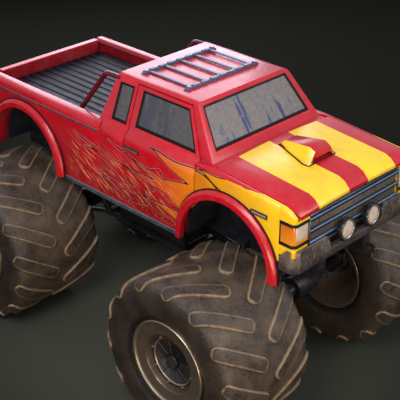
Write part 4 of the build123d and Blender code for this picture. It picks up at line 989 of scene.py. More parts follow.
def dropped(name, points, lift):
    """Points let down onto the top of a CAD node, a little over it."""
    mesh = cad[name].data
    surface = BVHTree.FromPolygons([v.co for v in mesh.vertices], [p.vertices for p in mesh.polygons])
    hits = [surface.ray_cast(Vector((x, y, 4)), Vector((0, 0, -1)))[0] for x, y in points]
    return [Vector((x, y, hit.z + lift)) for (x, y), hit in zip(points, hits)]


piping_rubber, piping_shader = new_material("piping rubber", RUBBER_BLACK, 0.5)
piping_shader.inputs["Specular IOR Level"].default_value = 0.2
lines = [tube_mesh("flare line", flare_line(x, FLARE_LINE_Y), PIPING_R) for x in ARCH_CENTRES]
finished("flare_piping", both_sides("flare_piping", *lines), "root", piping_rubber)
foot = [(x, -y) for x, y in SCOOP_FOOT] + [(x, y) for x, y in reversed(SCOOP_FOOT)]
scoop_line = tube_mesh("scoop line", dropped("bonnet", foot, 0.002), SCOOP_PIPING_R)
finished("scoop_piping", scoop_line, "bonnet", piping_rubber)

# ---- Window glass -------------------------------------------------------------------------
# Flat tinted panes set in black rubber channels. Dust lies over them, and rain has run through
# it in uneven upright streaks.
# Dust, haze over it, and the glass where rain has cleared it
SCREEN_TONES = ((0.175, 0.150, 0.140), (0.130, 0.115, 0.116), (0.040, 0.052, 0.130))
SIDE_TONES = ((0.092, 0.084, 0.082), (0.066, 0.064, 0.072), (0.046, 0.049, 0.068))
SCREENS = ("windscreen", "rear_window")
SIDE_PANES = ("quarter_windows", "door_glass_left", "door_glass_right")
CAB_MIDDLE_X = 0.45
LEAST_PANE = 0.02
# Section of the rubber channel: distance in from the pane's edge, height over the pane
SEAL = [
    (-0.004, -0.010), (-0.004, 0.011), (0.003, 0.0145), (0.016, 0.0135), (0.023, 0.007), (0.023, -0.010),
]


def dusty_glass(name, scale, dust_tone, haze, clear):
    """Glass whose dust is streaked upright; the scale is along X, Y and Z."""
    material, shader = new_material(name)
    tree = material.node_tree
    streak = steps_between(tree, noise(tree, 1.0, 6, place(tree, scale=scale), 0.60), 0.535, 0.575)
    cloud = steps_between(tree, noise(tree, 2.6, 4), 0.46, 0.54)
    cleared = times(tree, streak, cloud)
    speck = steps_between(tree, noise(tree, 30.0, 5), 0.40, 0.60)
    dust = mixed(tree, speck, dust_tone, haze)
    feed(tree, shader.inputs["Base Color"], mixed(tree, cleared, dust, clear))
    feed(tree, shader.inputs["Roughness"], maths(tree, "MULTIPLY_ADD", cleared, -0.25, 0.45))
    shader.inputs["Coat Weight"].default_value = 0.2
    shader.inputs["Coat Roughness"].default_value = 0.15
    return material


def pane_borders(name):
    """The corners round each pane of a node, with the outward normal of its outer face."""
    shape = bmesh.new()
    shape.from_mesh(cad[name].data)
    bmesh.ops.remove_doubles(shape, verts=shape.verts, dist=1e-5)
    bmesh.ops.dissolve_limit(shape, angle_limit=math.radians(1), verts=shape.verts, edges=shape.edges)
    loops = []
    for face in shape.faces:
        middle = face.calc_center_median()
        outward = Vector((middle.x - CAB_MIDDLE_X, 0, 0) if name in SCREENS else (0, middle.y, 0))
        if face.calc_area() > LEAST_PANE and face.normal.dot(outward.normalized()) > 0.3:
            loops.append(([v.co.copy() for v in face.verts], face.normal.copy()))
    shape.free()
    return loops


def seal_mesh(name, loops):
    """Rubber channel that laps each pane's edge and closes on the panel round it."""
    corners, faces = [], []
    for loop, normal in loops:
        start, count = len(corners), len(loop)
        middle = sum(loop, Vector()) / count
        for inset, height in SEAL:
            for i, corner in enumerate(loop):
                before = (corner - loop[i - 1]).normalized()
                after = (loop[(i + 1) % count] - corner).normalized()
                inward = after - before
                if inward.length < 0.02:
                    inward = normal.cross(after)
                inward = inward.normalized()
                if inward.dot(middle - corner) < 0:
                    inward = -inward
                square = max(0.3, abs(inward.dot(normal.cross(after))))
                corners.append(corner + inward * (inset / square) + normal * height)
        for row in range(len(SEAL)):
            faces += joined(start + row * count, start + (row + 1) % len(SEAL) * count, count)
    return mesh_of(name, corners, faces, smooth=False)


screen_glass = dusty_glass("dusty screen glass", (0.0, 14.0, 1.6), *SCREEN_TONES)
side_glass = dusty_glass("dusty side glass", (8.0, 0.0, 1.0), *SIDE_TONES)
for name in (*SCREENS, *SIDE_PANES):
    cad[name].data.materials.clear()
    cad[name].data.materials.append(screen_glass if name in SCREENS else side_glass)
    seal = seal_mesh(name, pane_borders(name))
    finished(f"{name}_seal", seal, cad[name]["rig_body"], piping_rubber)

# ---- Grille -------------------------------------------------------------------------------
# Three dark bars with a painted highlight along their upper edges, before a woven wire mesh and a dark back
# plate, held in the nose panel by a steel surround. The bars' paint is scuffed by grit.
BAR_PAINTED_HIGHLIGHT = (0.30, 0.47, 0.74)
BAR_DARK = (0.055, 0.065, 0.085)
GRILLE_BACK = (0.018, 0.015, 0.013)
BARS_Z = (2.005, 2.117, 2.234)
WIRE_R = 0.0042
WIRE_PITCH = 0.0195
WIRE_BROWN = (0.210, 0.160, 0.120)
# The mesh stands this far ahead of the grille's back and inside its edges
WIRE_AHEAD, WIRE_EDGE = 0.036, 0.004
# Level wires lie this far before the upright ones
WIRE_LAP = 0.004
BAR_FRONT_X = 2.205
BAR_SCUFF = (0.07, 0.065, 0.06)
SURROUND_X, SURROUND_Y = 2.226, 0.645
SURROUND_Z = (1.985, 2.262)
POST_R, LIP_ROD_R, LIP_HALF = 0.009, 0.006, 0.64
SURROUND_STEEL, SURROUND_SCUFF = (0.10, 0.13, 0.17), (0.03, 0.03, 0.035)


def scuffed(material, shader, colour, bare, scale, amount, rough):
    """Colour with scuffs of another tone over it, rougher where it is rubbed."""
    tree = material.node_tree
    shade, mask = dusty(tree, colour, bare, amount, scale)
    feed(tree, shader.inputs["Base Color"], shade)
    feed(tree, shader.inputs["Roughness"], maths(tree, "MULTIPLY_ADD", mask, 0.35, rough))
    return material


def scuffed_paint(name, colour, bare, scale, amount, rough, metal=0.0):
    """One colour with scuffs over it."""
    return scuffed(*new_material(name, colour, rough, metal), colour, bare, scale, amount, rough)


def grille_finish():
    """Bars with a painted highlight along their upper edges and dark below, and a dark back plate."""
    material, shader = new_material("grille bars", BAR_DARK, 0.3, 0.75)
    tree = material.node_tree
    x, _, z = object_axes(tree)
    ahead = steps_between(tree, x, BAR_FRONT_X - 0.001, BAR_FRONT_X + 0.001)
    painted_bar_highlight = None
    # Painted highlight along the upper edge of each bar
    for bar_z in BARS_Z:
        one = band(tree, z, bar_z + 0.001, bar_z + 0.016, 0.002)
        painted_bar_highlight = one if painted_bar_highlight is None else maths(tree, "MAXIMUM", painted_bar_highlight, one)
    bar = mixed(tree, painted_bar_highlight, BAR_DARK, BAR_PAINTED_HIGHLIGHT)
    return scuffed(material, shader, mixed(tree, ahead, GRILLE_BACK, bar), BAR_SCUFF, 30.0, 0.5, 0.28)


def row_tree():
    """Geometry nodes: adds copies of a piece set out evenly along a straight step."""
    tree, ids, given, result = mesh_tree(
        "row of pieces", Piece="Object", Count="Int", Step="Vector", Material="Material")
    line = tree.nodes.new("GeometryNodeMeshLine")
    tree.links.new(given.outputs["Count"], line.inputs["Count"])
    tree.links.new(given.outputs["Step"], line.inputs["Offset"])
    copies_on(tree, given, result, line.outputs[0])
    return tree, ids


row, row_ids = row_tree()


def row_of(piece, count, step, material):
    """Geometry-node step that adds a row of a piece."""
    return row, row_ids, {"Piece": piece, "Count": count, "Step": step, "Material": material}


def from_nothing(name, *steps):
    """Mesh that geometry-node steps alone make."""
    return grown(name, bpy.data.meshes.new("nothing"), *steps)


wire = new_material("grille wire", WIRE_BROWN, 0.42, 0.4)[0]
low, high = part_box("grille")
wire_x, wire_y, wire_z = low.x + WIRE_AHEAD, low.y + WIRE_EDGE, low.z + WIRE_EDGE
wire_top, wire_end = high.z - 0.006, high.y - WIRE_EDGE
upright = tube_mesh("upright wire", [(wire_x, wire_y, wire_z), (wire_x, wire_y, wire_top)], WIRE_R, 6)
upright = hidden_piece("upright_wire", upright)
level_x = wire_x + WIRE_LAP
level = tube_mesh("level wire", [(level_x, wire_y, wire_z), (level_x, wire_end, wire_z)], WIRE_R, 6)
level = hidden_piece("level_wire", level)
across = int((wire_end - wire_y) / WIRE_PITCH) + 1
up = int((wire_top - wire_z) / WIRE_PITCH) + 1
uprights = row_of(upright, across, (0, WIRE_PITCH, 0), wire)
levels = row_of(level, up, (0, 0, WIRE_PITCH), wire)
finished("grille_mesh", from_nothing("woven mesh", uprights, levels), "root")
casing("grille", "grille_bars", 0.008, grille_finish())
posts = tube_mesh("post", [(SURROUND_X, SURROUND_Y, z) for z in SURROUND_Z], POST_R)
lips = [
    tube_mesh("lip", [(SURROUND_X, -LIP_HALF, z), (SURROUND_X, LIP_HALF, z)], LIP_ROD_R)
    for z in (low.z, high.z - WIRE_EDGE)
]
posts = merged("surround", [both_sides("posts", posts), *lips])
surround_steel = scuffed_paint("surround", SURROUND_STEEL, SURROUND_SCUFF, 40.0, 0.6, 0.3, 0.6)
finished("grille_surround", posts, "root", surround_steel)

# ---- Headlamps ----------------------------------------------------------------------------
# Moulded amber corner lamps that wrap round the nose, each with a frosted square lens over its
# inner upper part and a black rubber band above and below.
AMBER = (0.90, 0.30, 0.006)
AMBER_DEEP = (0.62, 0.13, 0.004)
LENS_CREAM = (0.70, 0.56, 0.43)
LAMP_SCUFF, LENS_SCUFF = (0.55, 0.24, 0.06), (0.38, 0.30, 0.25)
# Rubber bands: heights, inner and outer y, x at the back and at the nose, corner, radii
LAMP_RIM_Z, LAMP_TOP_Z = 2.040, 2.2455
LAMP_Y, LAMP_SIDE_Y, LAMP_BACK_X = 0.650, 0.839, 2.064
LAMP_NOSE_X, LAMP_TURN = 2.223, 0.046
BAND_R, BAND_END_R = 0.0145, 0.006
LENS_LOW, LENS_HIGH = (2.196, 0.662, 2.082), (2.2235, 0.812, 2.232)


def rounded_box(name, low, high, edge, steps=2):
    """Box between two corners with its edges rolled over."""
    shape = bmesh.new()
    bmesh.ops.create_cube(shape, size=1)
    size = Vector(high) - Vector(low)
    bmesh.ops.scale(shape, verts=shape.verts, vec=size)
    bmesh.ops.translate(shape, verts=shape.verts, vec=Vector(low) + size / 2)
    bmesh.ops.bevel(shape, geom=shape.edges, offset=edge, segments=steps, profile=0.5, affect="EDGES")
    return mesh_from(name, shape, smooth=True)


def lamp_body():
    """Amber that deepens towards the top, with a yellow foot under the lower band."""
    material, shader = new_material("amber lamp", AMBER, 0.2)
    tree = material.node_tree
    z = object_axes(tree)[2]
    height = steps_between(tree, z, 2.02, 2.22)
    shader.inputs["Coat Weight"].default_value = 0.8
    shader.inputs["Coat Roughness"].default_value = 0.08
    moulded = mixed(tree, height, AMBER, AMBER_DEEP)
    below = steps_between(tree, z, LAMP_RIM_Z + 0.001, LAMP_RIM_Z - 0.001)
    return scuffed(material, shader, mixed(tree, below, moulded, FLAME_YELLOW), LAMP_SCUFF, 14.0, 0.3, 0.2)


def lens_finish():
    """Frosted glass with fine upright ribs."""
    material, shader = new_material("frosted lens", LENS_CREAM, 0.3)
    shader.inputs["Coat Weight"].default_value = 0.7
    shader.inputs["Coat Roughness"].default_value = 0.1
    scuffed(material, shader, LENS_CREAM, LENS_SCUFF, 16.0, 0.8, 0.28)
    tree = material.node_tree
    ribs = add_node(tree, "TexWave", wave_type="BANDS", bands_direction="Y")
    ribs.inputs["Scale"].default_value = 24.0
    tree.links.new(place(tree), ribs.inputs["Vector"])
    bumped(tree, shader, ribs.outputs["Fac"], 0.25, 0.002)
    return material


def corner_path(z):
    """Line round the nose's left corner at one height."""
    middle_x, middle_y = LAMP_NOSE_X - LAMP_TURN, LAMP_SIDE_Y - LAMP_TURN
    path = [(LAMP_NOSE_X, LAMP_Y, z)]
    for step in range(9):
        angle = math.pi / 2 * step / 8
        path.append((middle_x + LAMP_TURN * math.cos(angle), middle_y + LAMP_TURN * math.sin(angle), z))
    return path + [(LAMP_BACK_X, LAMP_SIDE_Y, z)]


lens_glass = lens_finish()
casing("headlamps", "headlamp_bodies", 0.004, lamp_body())
lenses = both_sides("lens", rounded_box("lens", LENS_LOW, LENS_HIGH, 0.006))
finished("headlamp_lenses", lenses, "root", lens_glass)
bands = [tube_mesh("band", corner_path(z), BAND_R) for z in (LAMP_TOP_Z, LAMP_RIM_Z)]
end_x = LAMP_BACK_X - 0.001
end_line = [(end_x, LAMP_SIDE_Y, LAMP_RIM_Z), (end_x, LAMP_SIDE_Y, LAMP_TOP_Z + 0.0025)]
bands.append(tube_mesh("end", end_line, BAND_END_R))
finished("headlamp_bands", both_sides("bands", *bands), "root", piping_rubber)

# ---- Spot lamps ---------------------------------------------------------------------------
# Two round lamps in black pressed housings on stems from the bumper, with a bright rim and a
# frosted lens.
# Middle of the left lamp: y, z
SPOT_AT = (0.185, 1.990)
SPOT_BACK_X = 2.236
STEM_LOW, STEM_HIGH = (2.252, 0.167, 1.862), (2.270, 0.203, 1.900)
SPOT_BLACK, SPOT_SCUFF = (0.007, 0.007, 0.008), (0.045, 0.04, 0.035)
SPOT_BRIGHT, BRIGHT_SCUFF = (0.42, 0.38, 0.34), (0.10, 0.08, 0.06)
# Sections of the housing, rim and lens: distance ahead of the back, radius
SPOT_HOUSING = [
    (0.0, 0.030), (0.0, 0.070), (0.006, 0.092), (0.016, 0.106), (0.054, 0.111), (0.064, 0.110),
    (0.067, 0.105), (0.066, 0.097), (0.040, 0.095), (0.020, 0.060), (0.012, 0.030),
]
SPOT_RIM = [(0.050, 0.080), (0.050, 0.094), (0.066, 0.0965), (0.070, 0.092), (0.069, 0.084), (0.062, 0.079)]
SPOT_LENS = [(0.046, 0.0), (0.046, 0.081), (0.058, 0.081), (0.0635, 0.068), (0.066, 0.040), (0.067, 0.0)]


def spot_piece(name, profile):
    """Round piece of both lamps, turned to face ahead."""
    ring_mesh = turned_mesh(name, profile, 48)
    ring_mesh.transform(Matrix.Rotation(-math.pi / 2, 4, "Z"))
    ring_mesh.transform(Matrix.Translation((SPOT_BACK_X, SPOT_AT[0], SPOT_AT[1])))
    return both_sides(name, ring_mesh)


spot_black = scuffed_paint("spot housing", SPOT_BLACK, SPOT_SCUFF, 26.0, 0.4, 0.28)
spot_bright = scuffed_paint("spot rim", SPOT_BRIGHT, BRIGHT_SCUFF, 40.0, 0.8, 0.24, 0.8)
stem = both_sides("stem", rounded_box("stem", STEM_LOW, STEM_HIGH, 0.004))
housings = merged("spot", [spot_piece("housing", SPOT_HOUSING), stem])
finished("spot_housings", housings, "root", spot_black, ["spot_lamps"])
finished("spot_rims", spot_piece("rim", SPOT_RIM), "root", spot_bright)
finished("spot_lenses", spot_piece("lens", SPOT_LENS), "root", lens_glass)

# ---- Bumpers ------------------------------------------------------------------------------
# Folded steel bars, the front one with boxed ends, bolted to arms off the frame rails. Their
# grey paint is scraped to bare metal and stained with mud.
BUMPER_GREY, BUMPER_PALE = (0.085, 0.064, 0.055), (0.190, 0.148, 0.128)
BUMPER_BARE = (0.30, 0.26, 0.235)
BUMPER_STAIN, BUMPER_FOOT = (0.028, 0.022, 0.020), (0.022, 0.019, 0.018)
BUMPER_FOOT_Z = (1.866, 1.800)


def bumper_finish():
    """Grey paint with pale and bare patches, mud stains and a dark lower edge."""
    material, shader = new_material("scraped bumper", BUMPER_GREY, 0.4, 0.35)
    tree = material.node_tree
    wide = steps_between(tree, noise(tree, 4.5, 6, rough=0.65), 0.42, 0.60)
    fine = steps_between(tree, noise(tree, 24.0, 6, rough=0.75), 0.50, 0.64)
    dark = steps_between(tree, noise(tree, 9.0, 5, place(tree, offset=(3, 1, 2)), 0.7), 0.54, 0.66)
    foot = steps_between(tree, object_axes(tree)[2], *BUMPER_FOOT_Z)
    colour = mixed(tree, times(tree, wide, 0.8), BUMPER_GREY, BUMPER_PALE)
    colour = mixed(tree, times(tree, fine, 0.6), colour, BUMPER_BARE)
    colour = mixed(tree, times(tree, dark, 0.75), colour, BUMPER_STAIN)
    colour = mixed(tree, times(tree, foot, 0.6), colour, BUMPER_FOOT)
    feed(tree, shader.inputs["Base Color"], colour)
    feed(tree, shader.inputs["Roughness"], maths(tree, "MULTIPLY_ADD", dark, 0.25, 0.38))
    bumped(tree, shader, fine, 0.25, 0.003)
    return material


scraped = bumper_finish()
for name, width in (("front_bumper", 0.007), ("rear_bumper", 0.009)):
    casing(name, f"{name}_bar", width, scraped)

# ---- Side trim ----------------------------------------------------------------------------
# Grey plastic rubbing strips clipped along the sills and the bed, door handles with grey flaps,
# and side markers, both in dark moulded bezels.
STRIP_PAINTED_TOP_LIGHT = (0.105, 0.115, 0.130)
STRIP_LOW, STRIP_HIGH, STRIP_SCUFF = (0.028, 0.031, 0.038), (0.060, 0.066, 0.077), (0.24, 0.25, 0.27)
HANDLE_BOX = ((0.086, 0.834, 2.2505), (0.299, 0.856, 2.2915))
HANDLE_GREY, HANDLE_SCUFF = (0.085, 0.078, 0.080), (0.24, 0.20, 0.19)
MARKER_BOX = ((1.731, 0.832, 2.2035), (1.920, 0.8545, 2.2425))
MARKER_PALE, MARKER_SCUFF = (0.30, 0.24, 0.21), (0.14, 0.11, 0.10)
BEZEL_RIM, BEZEL_EDGE, BEZEL_BLACK = 0.008, 0.003, (0.020, 0.018, 0.020)


def strip_finish():
    """Streaked grey, with painted light that makes its upward faces paler."""
    material, shader = new_material("grey strip", STRIP_PAINTED_TOP_LIGHT, 0.38)
    tree = material.node_tree
    streaks = noise(tree, 3.0, 5, place(tree, scale=(1.2, 6, 30)), 0.6)
    facing = add_node(tree, "SeparateXYZ")
    tree.links.new(add_node(tree, "NewGeometry").outputs["Normal"], facing.inputs[0])
    shade = mixed(tree, steps_between(tree, streaks, 0.40, 0.62), STRIP_LOW, STRIP_HIGH)
    # Painted light: faces that look up are paler
    shade = mixed(tree, steps_between(tree, facing.outputs[2], 0.1, 0.6), shade, STRIP_PAINTED_TOP_LIGHT)
    return scuffed(material, shader, shade, STRIP_SCUFF, 28.0, 0.35, 0.36)


strip_plastic = strip_finish()
for name in ("sill_strips", "bed_strips"):
    casing(name, f"{name}_moulding", 0.004, strip_plastic)


def slotted(name, low, high, face_finish):
    """Dark bezel of four rods with a sunk bar across it."""
    (x0, y0, z0), (x1, y1, z1) = low, high
    corners = [
        ((x0, y0, z0), (x1, y1, z0 + BEZEL_RIM)), ((x0, y0, z1 - BEZEL_RIM), (x1, y1, z1)),
        ((x0, y0, z0), (x0 + BEZEL_RIM, y1, z1)), ((x1 - BEZEL_RIM, y0, z0), (x1, y1, z1)),
    ]
    rods = [rounded_box(name, first, last, BEZEL_EDGE) for first, last in corners]
    for rod in rods:
        rod.materials.append(bezel_black)
    first, last = (x0 + 0.010, y0, (z0 + z1) / 2 - 0.011), (x1 - 0.010, y1 - 0.003, z1 - 0.009)
    face = rounded_box(name, first, last, BEZEL_EDGE)
    face.materials.append(face_finish)
    return merged(name, [*rods, face])


bezel_black = new_material("bezel", BEZEL_BLACK, 0.35)[0]
handle_grey = scuffed_paint("handle grey", HANDLE_GREY, HANDLE_SCUFF, 40.0, 0.5, 0.3)
handle = slotted("handle", *HANDLE_BOX, handle_grey)
finished("door_handle_left", handle, "door_left")
finished("door_handle_right", flipped(handle), "door_right")
marker_lens = scuffed_paint("marker lens", MARKER_PALE, MARKER_SCUFF, 30.0, 0.6, 0.25)
markers = both_sides("marker", slotted("marker", *MARKER_BOX, marker_lens))
finished("side_marker_lamps", markers, "root", replaced=["side_markers"])

# ---- Load bed -----------------------------------------------------------------------------
# A ribbed metal liner laid on the bed's floor, two bent bars bolted up to the cab's rear wall,
# and tail lamps with a handle on the gate.
LINER_PAINTED_HIGHLIGHT, LINER_DARK = (0.070, 0.105, 0.155), (0.003, 0.004, 0.008)
LINER_RIB_TOP_DARK, LINER_DIRT = (0.005, 0.006, 0.012), (0.016, 0.016, 0.020)
LINER_TOP_Z = 2.279
TUBE_MAROON, TUBE_WORN = (0.110, 0.008, 0.012), (0.05, 0.02, 0.02)
TAIL_RED, TAIL_GROOVE = (0.36, 0.006, 0.006), (0.10, 0.004, 0.004)
REVERSE_WHITE = (0.50, 0.44, 0.40)
REVERSE_Z = (2.09, 2.135)
GATE_HANDLE_BOX = ((-0.10, 2.1325, 2.315), (0.10, 2.140, 2.358))


def liner_finish():
    """Dark rib tops with a painted highlight on them near the cab, darker between the ribs, and dirt over
    all.
    """
    material, shader = new_material("bed liner", LINER_PAINTED_HIGHLIGHT, 0.4)
    shader.inputs["Specular IOR Level"].default_value = 0.1
    tree = material.node_tree
    x, _, z = object_axes(tree)
    top = steps_between(tree, z, LINER_TOP_Z - 0.007, LINER_TOP_Z - 0.002)
    streak = noise(tree, 2.0, 5, place(tree, scale=(0.8, 16, 1)), 0.65)
    # Painted highlight on the rib tops, strongest by the cab; worn below mixes it over the ribs' own dark
    highlight_by_cab = times(tree, steps_between(tree, x, -1.7, -0.4), steps_between(tree, streak, 0.36, 0.60))
    worn = mixed(tree, highlight_by_cab, LINER_RIB_TOP_DARK, LINER_PAINTED_HIGHLIGHT)
    return scuffed(material, shader, mixed(tree, top, LINER_DARK, worn), LINER_DIRT, 12.0, 0.4, 0.42)


def tail_finish():
    """Ribbed red lens with a pale band for the reversing lamp."""
    material, shader = new_material("tail lamp red", TAIL_RED, 0.2)
    shader.inputs["Coat Weight"].default_value = 0.6
    tree = material.node_tree
    z = object_axes(tree)[2]
    ribs = maths(tree, "SINE", times(tree, z, 420.0))
    lens_tone = mixed(tree, band(tree, z, *REVERSE_Z), TAIL_RED, REVERSE_WHITE)
    colour = mixed(tree, steps_between(tree, ribs, 0.7, 0.95), lens_tone, TAIL_GROOVE)
    feed(tree, shader.inputs["Base Color"], colour)
    return material


casing("bed_liner", "bed_liner_ribs", 0.003, liner_finish())
tube_paint = worn_paint("bar paint", TUBE_MAROON, TUBE_WORN, 0.26, 0.1, 0.5, 20.0)
casing("bed_bars", "bed_bar_tubes", 0.003, tube_paint, 50)
casing("tail_lamps", "tail_lamp_lenses", 0.004, tail_finish())
gate_handle = slotted("gate handle", *GATE_HANDLE_BOX, handle_grey)
gate_handle.transform(Matrix.Rotation(math.pi / 2, 4, "Z"))
finished("tailgate_handle", gate_handle, "tailgate")

# ---- Roof rack ----------------------------------------------------------------------------
# Two pierced alloy bars across the roof with flat slats between them. Each bar is held down by
# a row of zinc screws.
RACK_BLUE, RACK_SCUFF = (0.070, 0.100, 0.165), (0.34, 0.37, 0.42)
SCREW_ZINC = (0.55, 0.56, 0.58)
SCREW_EDGE = 0.056
SCREWS = 8
rack_paint = worn_paint("rack paint", RACK_BLUE, RACK_SCUFF, 0.34, 0.3, 0.4, 34.0)
casing("roof_rack", "roof_rack_bars", 0.003, rack_paint)
rack_low, rack_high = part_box("roof_rack")
shape = bmesh.new()
bmesh.ops.create_cone(shape, cap_ends=True, segments=10, radius1=0.009, radius2=0.007, depth=0.006)
bmesh.ops.translate(shape, verts=shape.verts, vec=rack_high - Vector((0.018, SCREW_EDGE, -0.002)))
screw = hidden_piece("rack_screw", mesh_from("rack screw", shape))
zinc = new_material("screw zinc", SCREW_ZINC, 0.3, 0.7)[0]
screw_pitch = (rack_high.y - SCREW_EDGE) / ((SCREWS - 1) / 2)
screws = from_nothing("rack screws", row_of(screw, SCREWS, (0, -screw_pitch, 0), zinc))
rear_screws = screws.copy()
rear_screws.transform(Matrix.Translation((rack_low.x - rack_high.x + 0.036, 0, 0)))
finished("rack_screws", merged("rack screws", [screws, rear_screws]), "root")

# ---- Inner arches and frame ---------------------------------------------------------------
# Folded inner arches over a welded ladder frame with a tube cradle, all painted black and
# splashed with mud.
CHASSIS_BLACK, ARCH_BLACK = (0.014, 0.016, 0.022), (0.006, 0.009, 0.016)
MUD = (0.075, 0.055, 0.040)


def grimy(name, colour, rough, metal, amount, scale=7.0):
    """A colour with mud over it."""
    material, shader = new_material(name, colour, rough, metal)
    shader.inputs["Specular IOR Level"].default_value = 0.35
    return scuffed(material, shader, colour, MUD, scale, amount, rough)


arch_black = grimy("arch black", ARCH_BLACK, 0.6, 0.0, 0.25)
chassis_black = grimy("chassis black", CHASSIS_BLACK, 0.45, 0.2, 0.45)
casing("wheelhouses", "wheelhouse_skins", 0.003, arch_black)
casing("frame", "frame_rails", 0.006, chassis_black)
casing("belly_cradle", "belly_tubes", 0.004, chassis_black, 50)

# ---- Engine and gearbox -------------------------------------------------------------------
# Cast iron engine with pressed rocker covers and a round air cleaner, a cast gearbox and a
# finned transfer case slung in the cradle.
CAST_GREY = (0.030, 0.032, 0.036)
COVER_RED, COVER_BARE = (0.16, 0.012, 0.014), (0.06, 0.05, 0.05)
# Rocker cover: how far inside the block's ends, y from and to, sunk and raised
COVER_INSET, COVER_Y, COVER_Z = 0.04, (0.085, 0.225), (-0.01, 0.045)
# Section of the air cleaner: height over the block, radius
CLEANER = [
    (-0.012, 0.0), (-0.012, 0.085), (0.018, 0.088), (0.024, 0.165), (0.068, 0.168), (0.078, 0.155),
    (0.080, 0.0),
]
# First cooling fin of the transfer case, how many there are and how far apart
FIN_LOW, FIN_HIGH = (-0.74, -0.187, 0.99), (-0.722, 0.187, 1.353)
FINS, FIN_PITCH = 12, 0.08
cast_iron = grimy("cast iron", CAST_GREY, 0.55, 0.35, 0.5, 12.0)
cover_paint = worn_paint("rocker cover paint", COVER_RED, COVER_BARE, 0.35, 0.2, 0.5, 26.0)
engine_low, engine_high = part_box("engine_block")
engine_x, engine_top = (engine_low.x + engine_high.x) / 2, engine_high.z
casing("engine_block", "engine_casting", 0.018, cast_iron)
casing("gearbox", "gearbox_casting", 0.014, cast_iron)
cover_low = (engine_low.x + COVER_INSET, COVER_Y[0], engine_top + COVER_Z[0])
cover_high = (engine_high.x - COVER_INSET, COVER_Y[1], engine_top + COVER_Z[1])
cover = rounded_box("cover", cover_low, cover_high, 0.014)
finished("rocker_covers", both_sides("covers", cover), "root", cover_paint)
cleaner = turned_mesh("cleaner", CLEANER, 40)
y_up = Matrix.Rotation(math.pi / 2, 4, "X")
cleaner.transform(Matrix.Translation((engine_x, 0, engine_top + 0.005)) @ y_up)
finished("air_cleaner", cleaner, "root", chassis_black)
fin = hidden_piece("case_fin", rounded_box("fin", FIN_LOW, FIN_HIGH, 0.003, 1))
fins = row_of(fin, FINS, (FIN_PITCH, 0, 0), cast_iron)
case = grown("case", rounded("transfer_case", 0.016), fins)
finished("transfer_casting", case, "root", cast_iron, ["transfer_case"])

# ---- Axles --------------------------------------------------------------------------------
# Welded tube axles with round diff housings, the front one with forged knuckles on kingpins and
# a tie rod behind them.
AXLE_DARK = (0.026, 0.026, 0.030)
axle_paint = grimy("axle paint", AXLE_DARK, 0.42, 0.4, 0.5, 9.0)
for name in ("front_axle", "rear_axle", "knuckle_left", "knuckle_right", "tie_rod"):
    casing(name, f"{name}_forging", 0.004, axle_paint, 50)
casing("suspension_links", "link_tubes", 0.003, axle_paint, 50)
casing("drive_shafts", "shaft_tubes", 0.003, axle_paint, 50)

# ---- Coil-over dampers --------------------------------------------------------------------
# Two dampers to each wheel, a polished rod in a painted body inside a wound coil, pinned to the
# axle tube and to an ear on the frame.
COIL_R, COIL_WIRE, COIL_TURNS = 0.0355, 0.0075, 11
COIL_YELLOW = (0.34, 0.22, 0.035)
AXLE_X, AXLE_Z, HEAD_Z = 1.466, 0.838, 1.520
COIL_Y = 0.414
# Each damper stands this far from the axle at its foot and at its head, on a pin over the axle
FOOT_OUT, HEAD_OUT, PIN_RISE = 0.056, 0.190, 0.030
COIL_START, COIL_SPARE = 0.120, 0.17
DAMPER_PAINT, ROD_CHROME = (0.020, 0.022, 0.028), (0.55, 0.56, 0.58)


def coil_tree():
    """Geometry nodes: a wound coil of round wire."""
    tree, ids, given, result = mesh_tree(
        "wound coil", Turns="Float", Radius="Float", Height="Float", Wire="Float", Material="Material")
    add, link = tree.nodes.new, tree.links.new
    spiral, wire_round = add("GeometryNodeCurveSpiral"), add("GeometryNodeCurvePrimitiveCircle")
    spiral.inputs["Resolution"].default_value = 18
    wire_round.inputs["Resolution"].default_value = 8
    link(given.outputs["Turns"], spiral.inputs["Rotations"])
    link(given.outputs["Radius"], spiral.inputs["Start Radius"])
    link(given.outputs["Radius"], spiral.inputs["End Radius"])
    link(given.outputs["Height"], spiral.inputs["Height"])
    link(given.outputs["Wire"], wire_round.inputs["Radius"])
    swept = add("GeometryNodeCurveToMesh")
    swept.inputs["Fill Caps"].default_value = True
    link(spiral.outputs[0], swept.inputs["Curve"])
    link(wire_round.outputs[0], swept.inputs["Profile Curve"])
    link(realized(tree, given, swept.outputs[0]), result.inputs[0])
    return tree, ids


def on_its_foot(mesh, foot, head):
    """Mesh along Z from the origin, set on a foot and leaned to a head."""
    run = Vector(head) - Vector(foot)
    placed = mesh.copy()
    placed.transform(Matrix.Translation(foot) @ run.to_track_quat("Z", "Y").to_matrix().to_4x4())
    return placed


damper_black = grimy("damper paint", DAMPER_PAINT, 0.3, 0.3, 0.3, 14.0)
rod_chrome = new_material("damper rod", ROD_CHROME, 0.18, 0.95)[0]
coil_paint = grimy("coil paint", COIL_YELLOW, 0.4, 0.1, 0.7, 16.0)
reach = math.hypot(HEAD_OUT - FOOT_OUT, HEAD_Z - AXLE_Z - PIN_RISE)
coil, coil_ids = coil_tree()
sizes = {"Turns": float(COIL_TURNS), "Radius": COIL_R, "Height": reach - COIL_SPARE, "Wire": COIL_WIRE}
winding = from_nothing("winding", (coil, coil_ids, {**sizes, "Material": coil_paint}))
winding.transform(Matrix.Translation((0, 0, COIL_START)))
winding.polygons.foreach_set("use_smooth", [True] * len(winding.polygons))
cup, rod_end = reach - 0.052, reach - 0.035
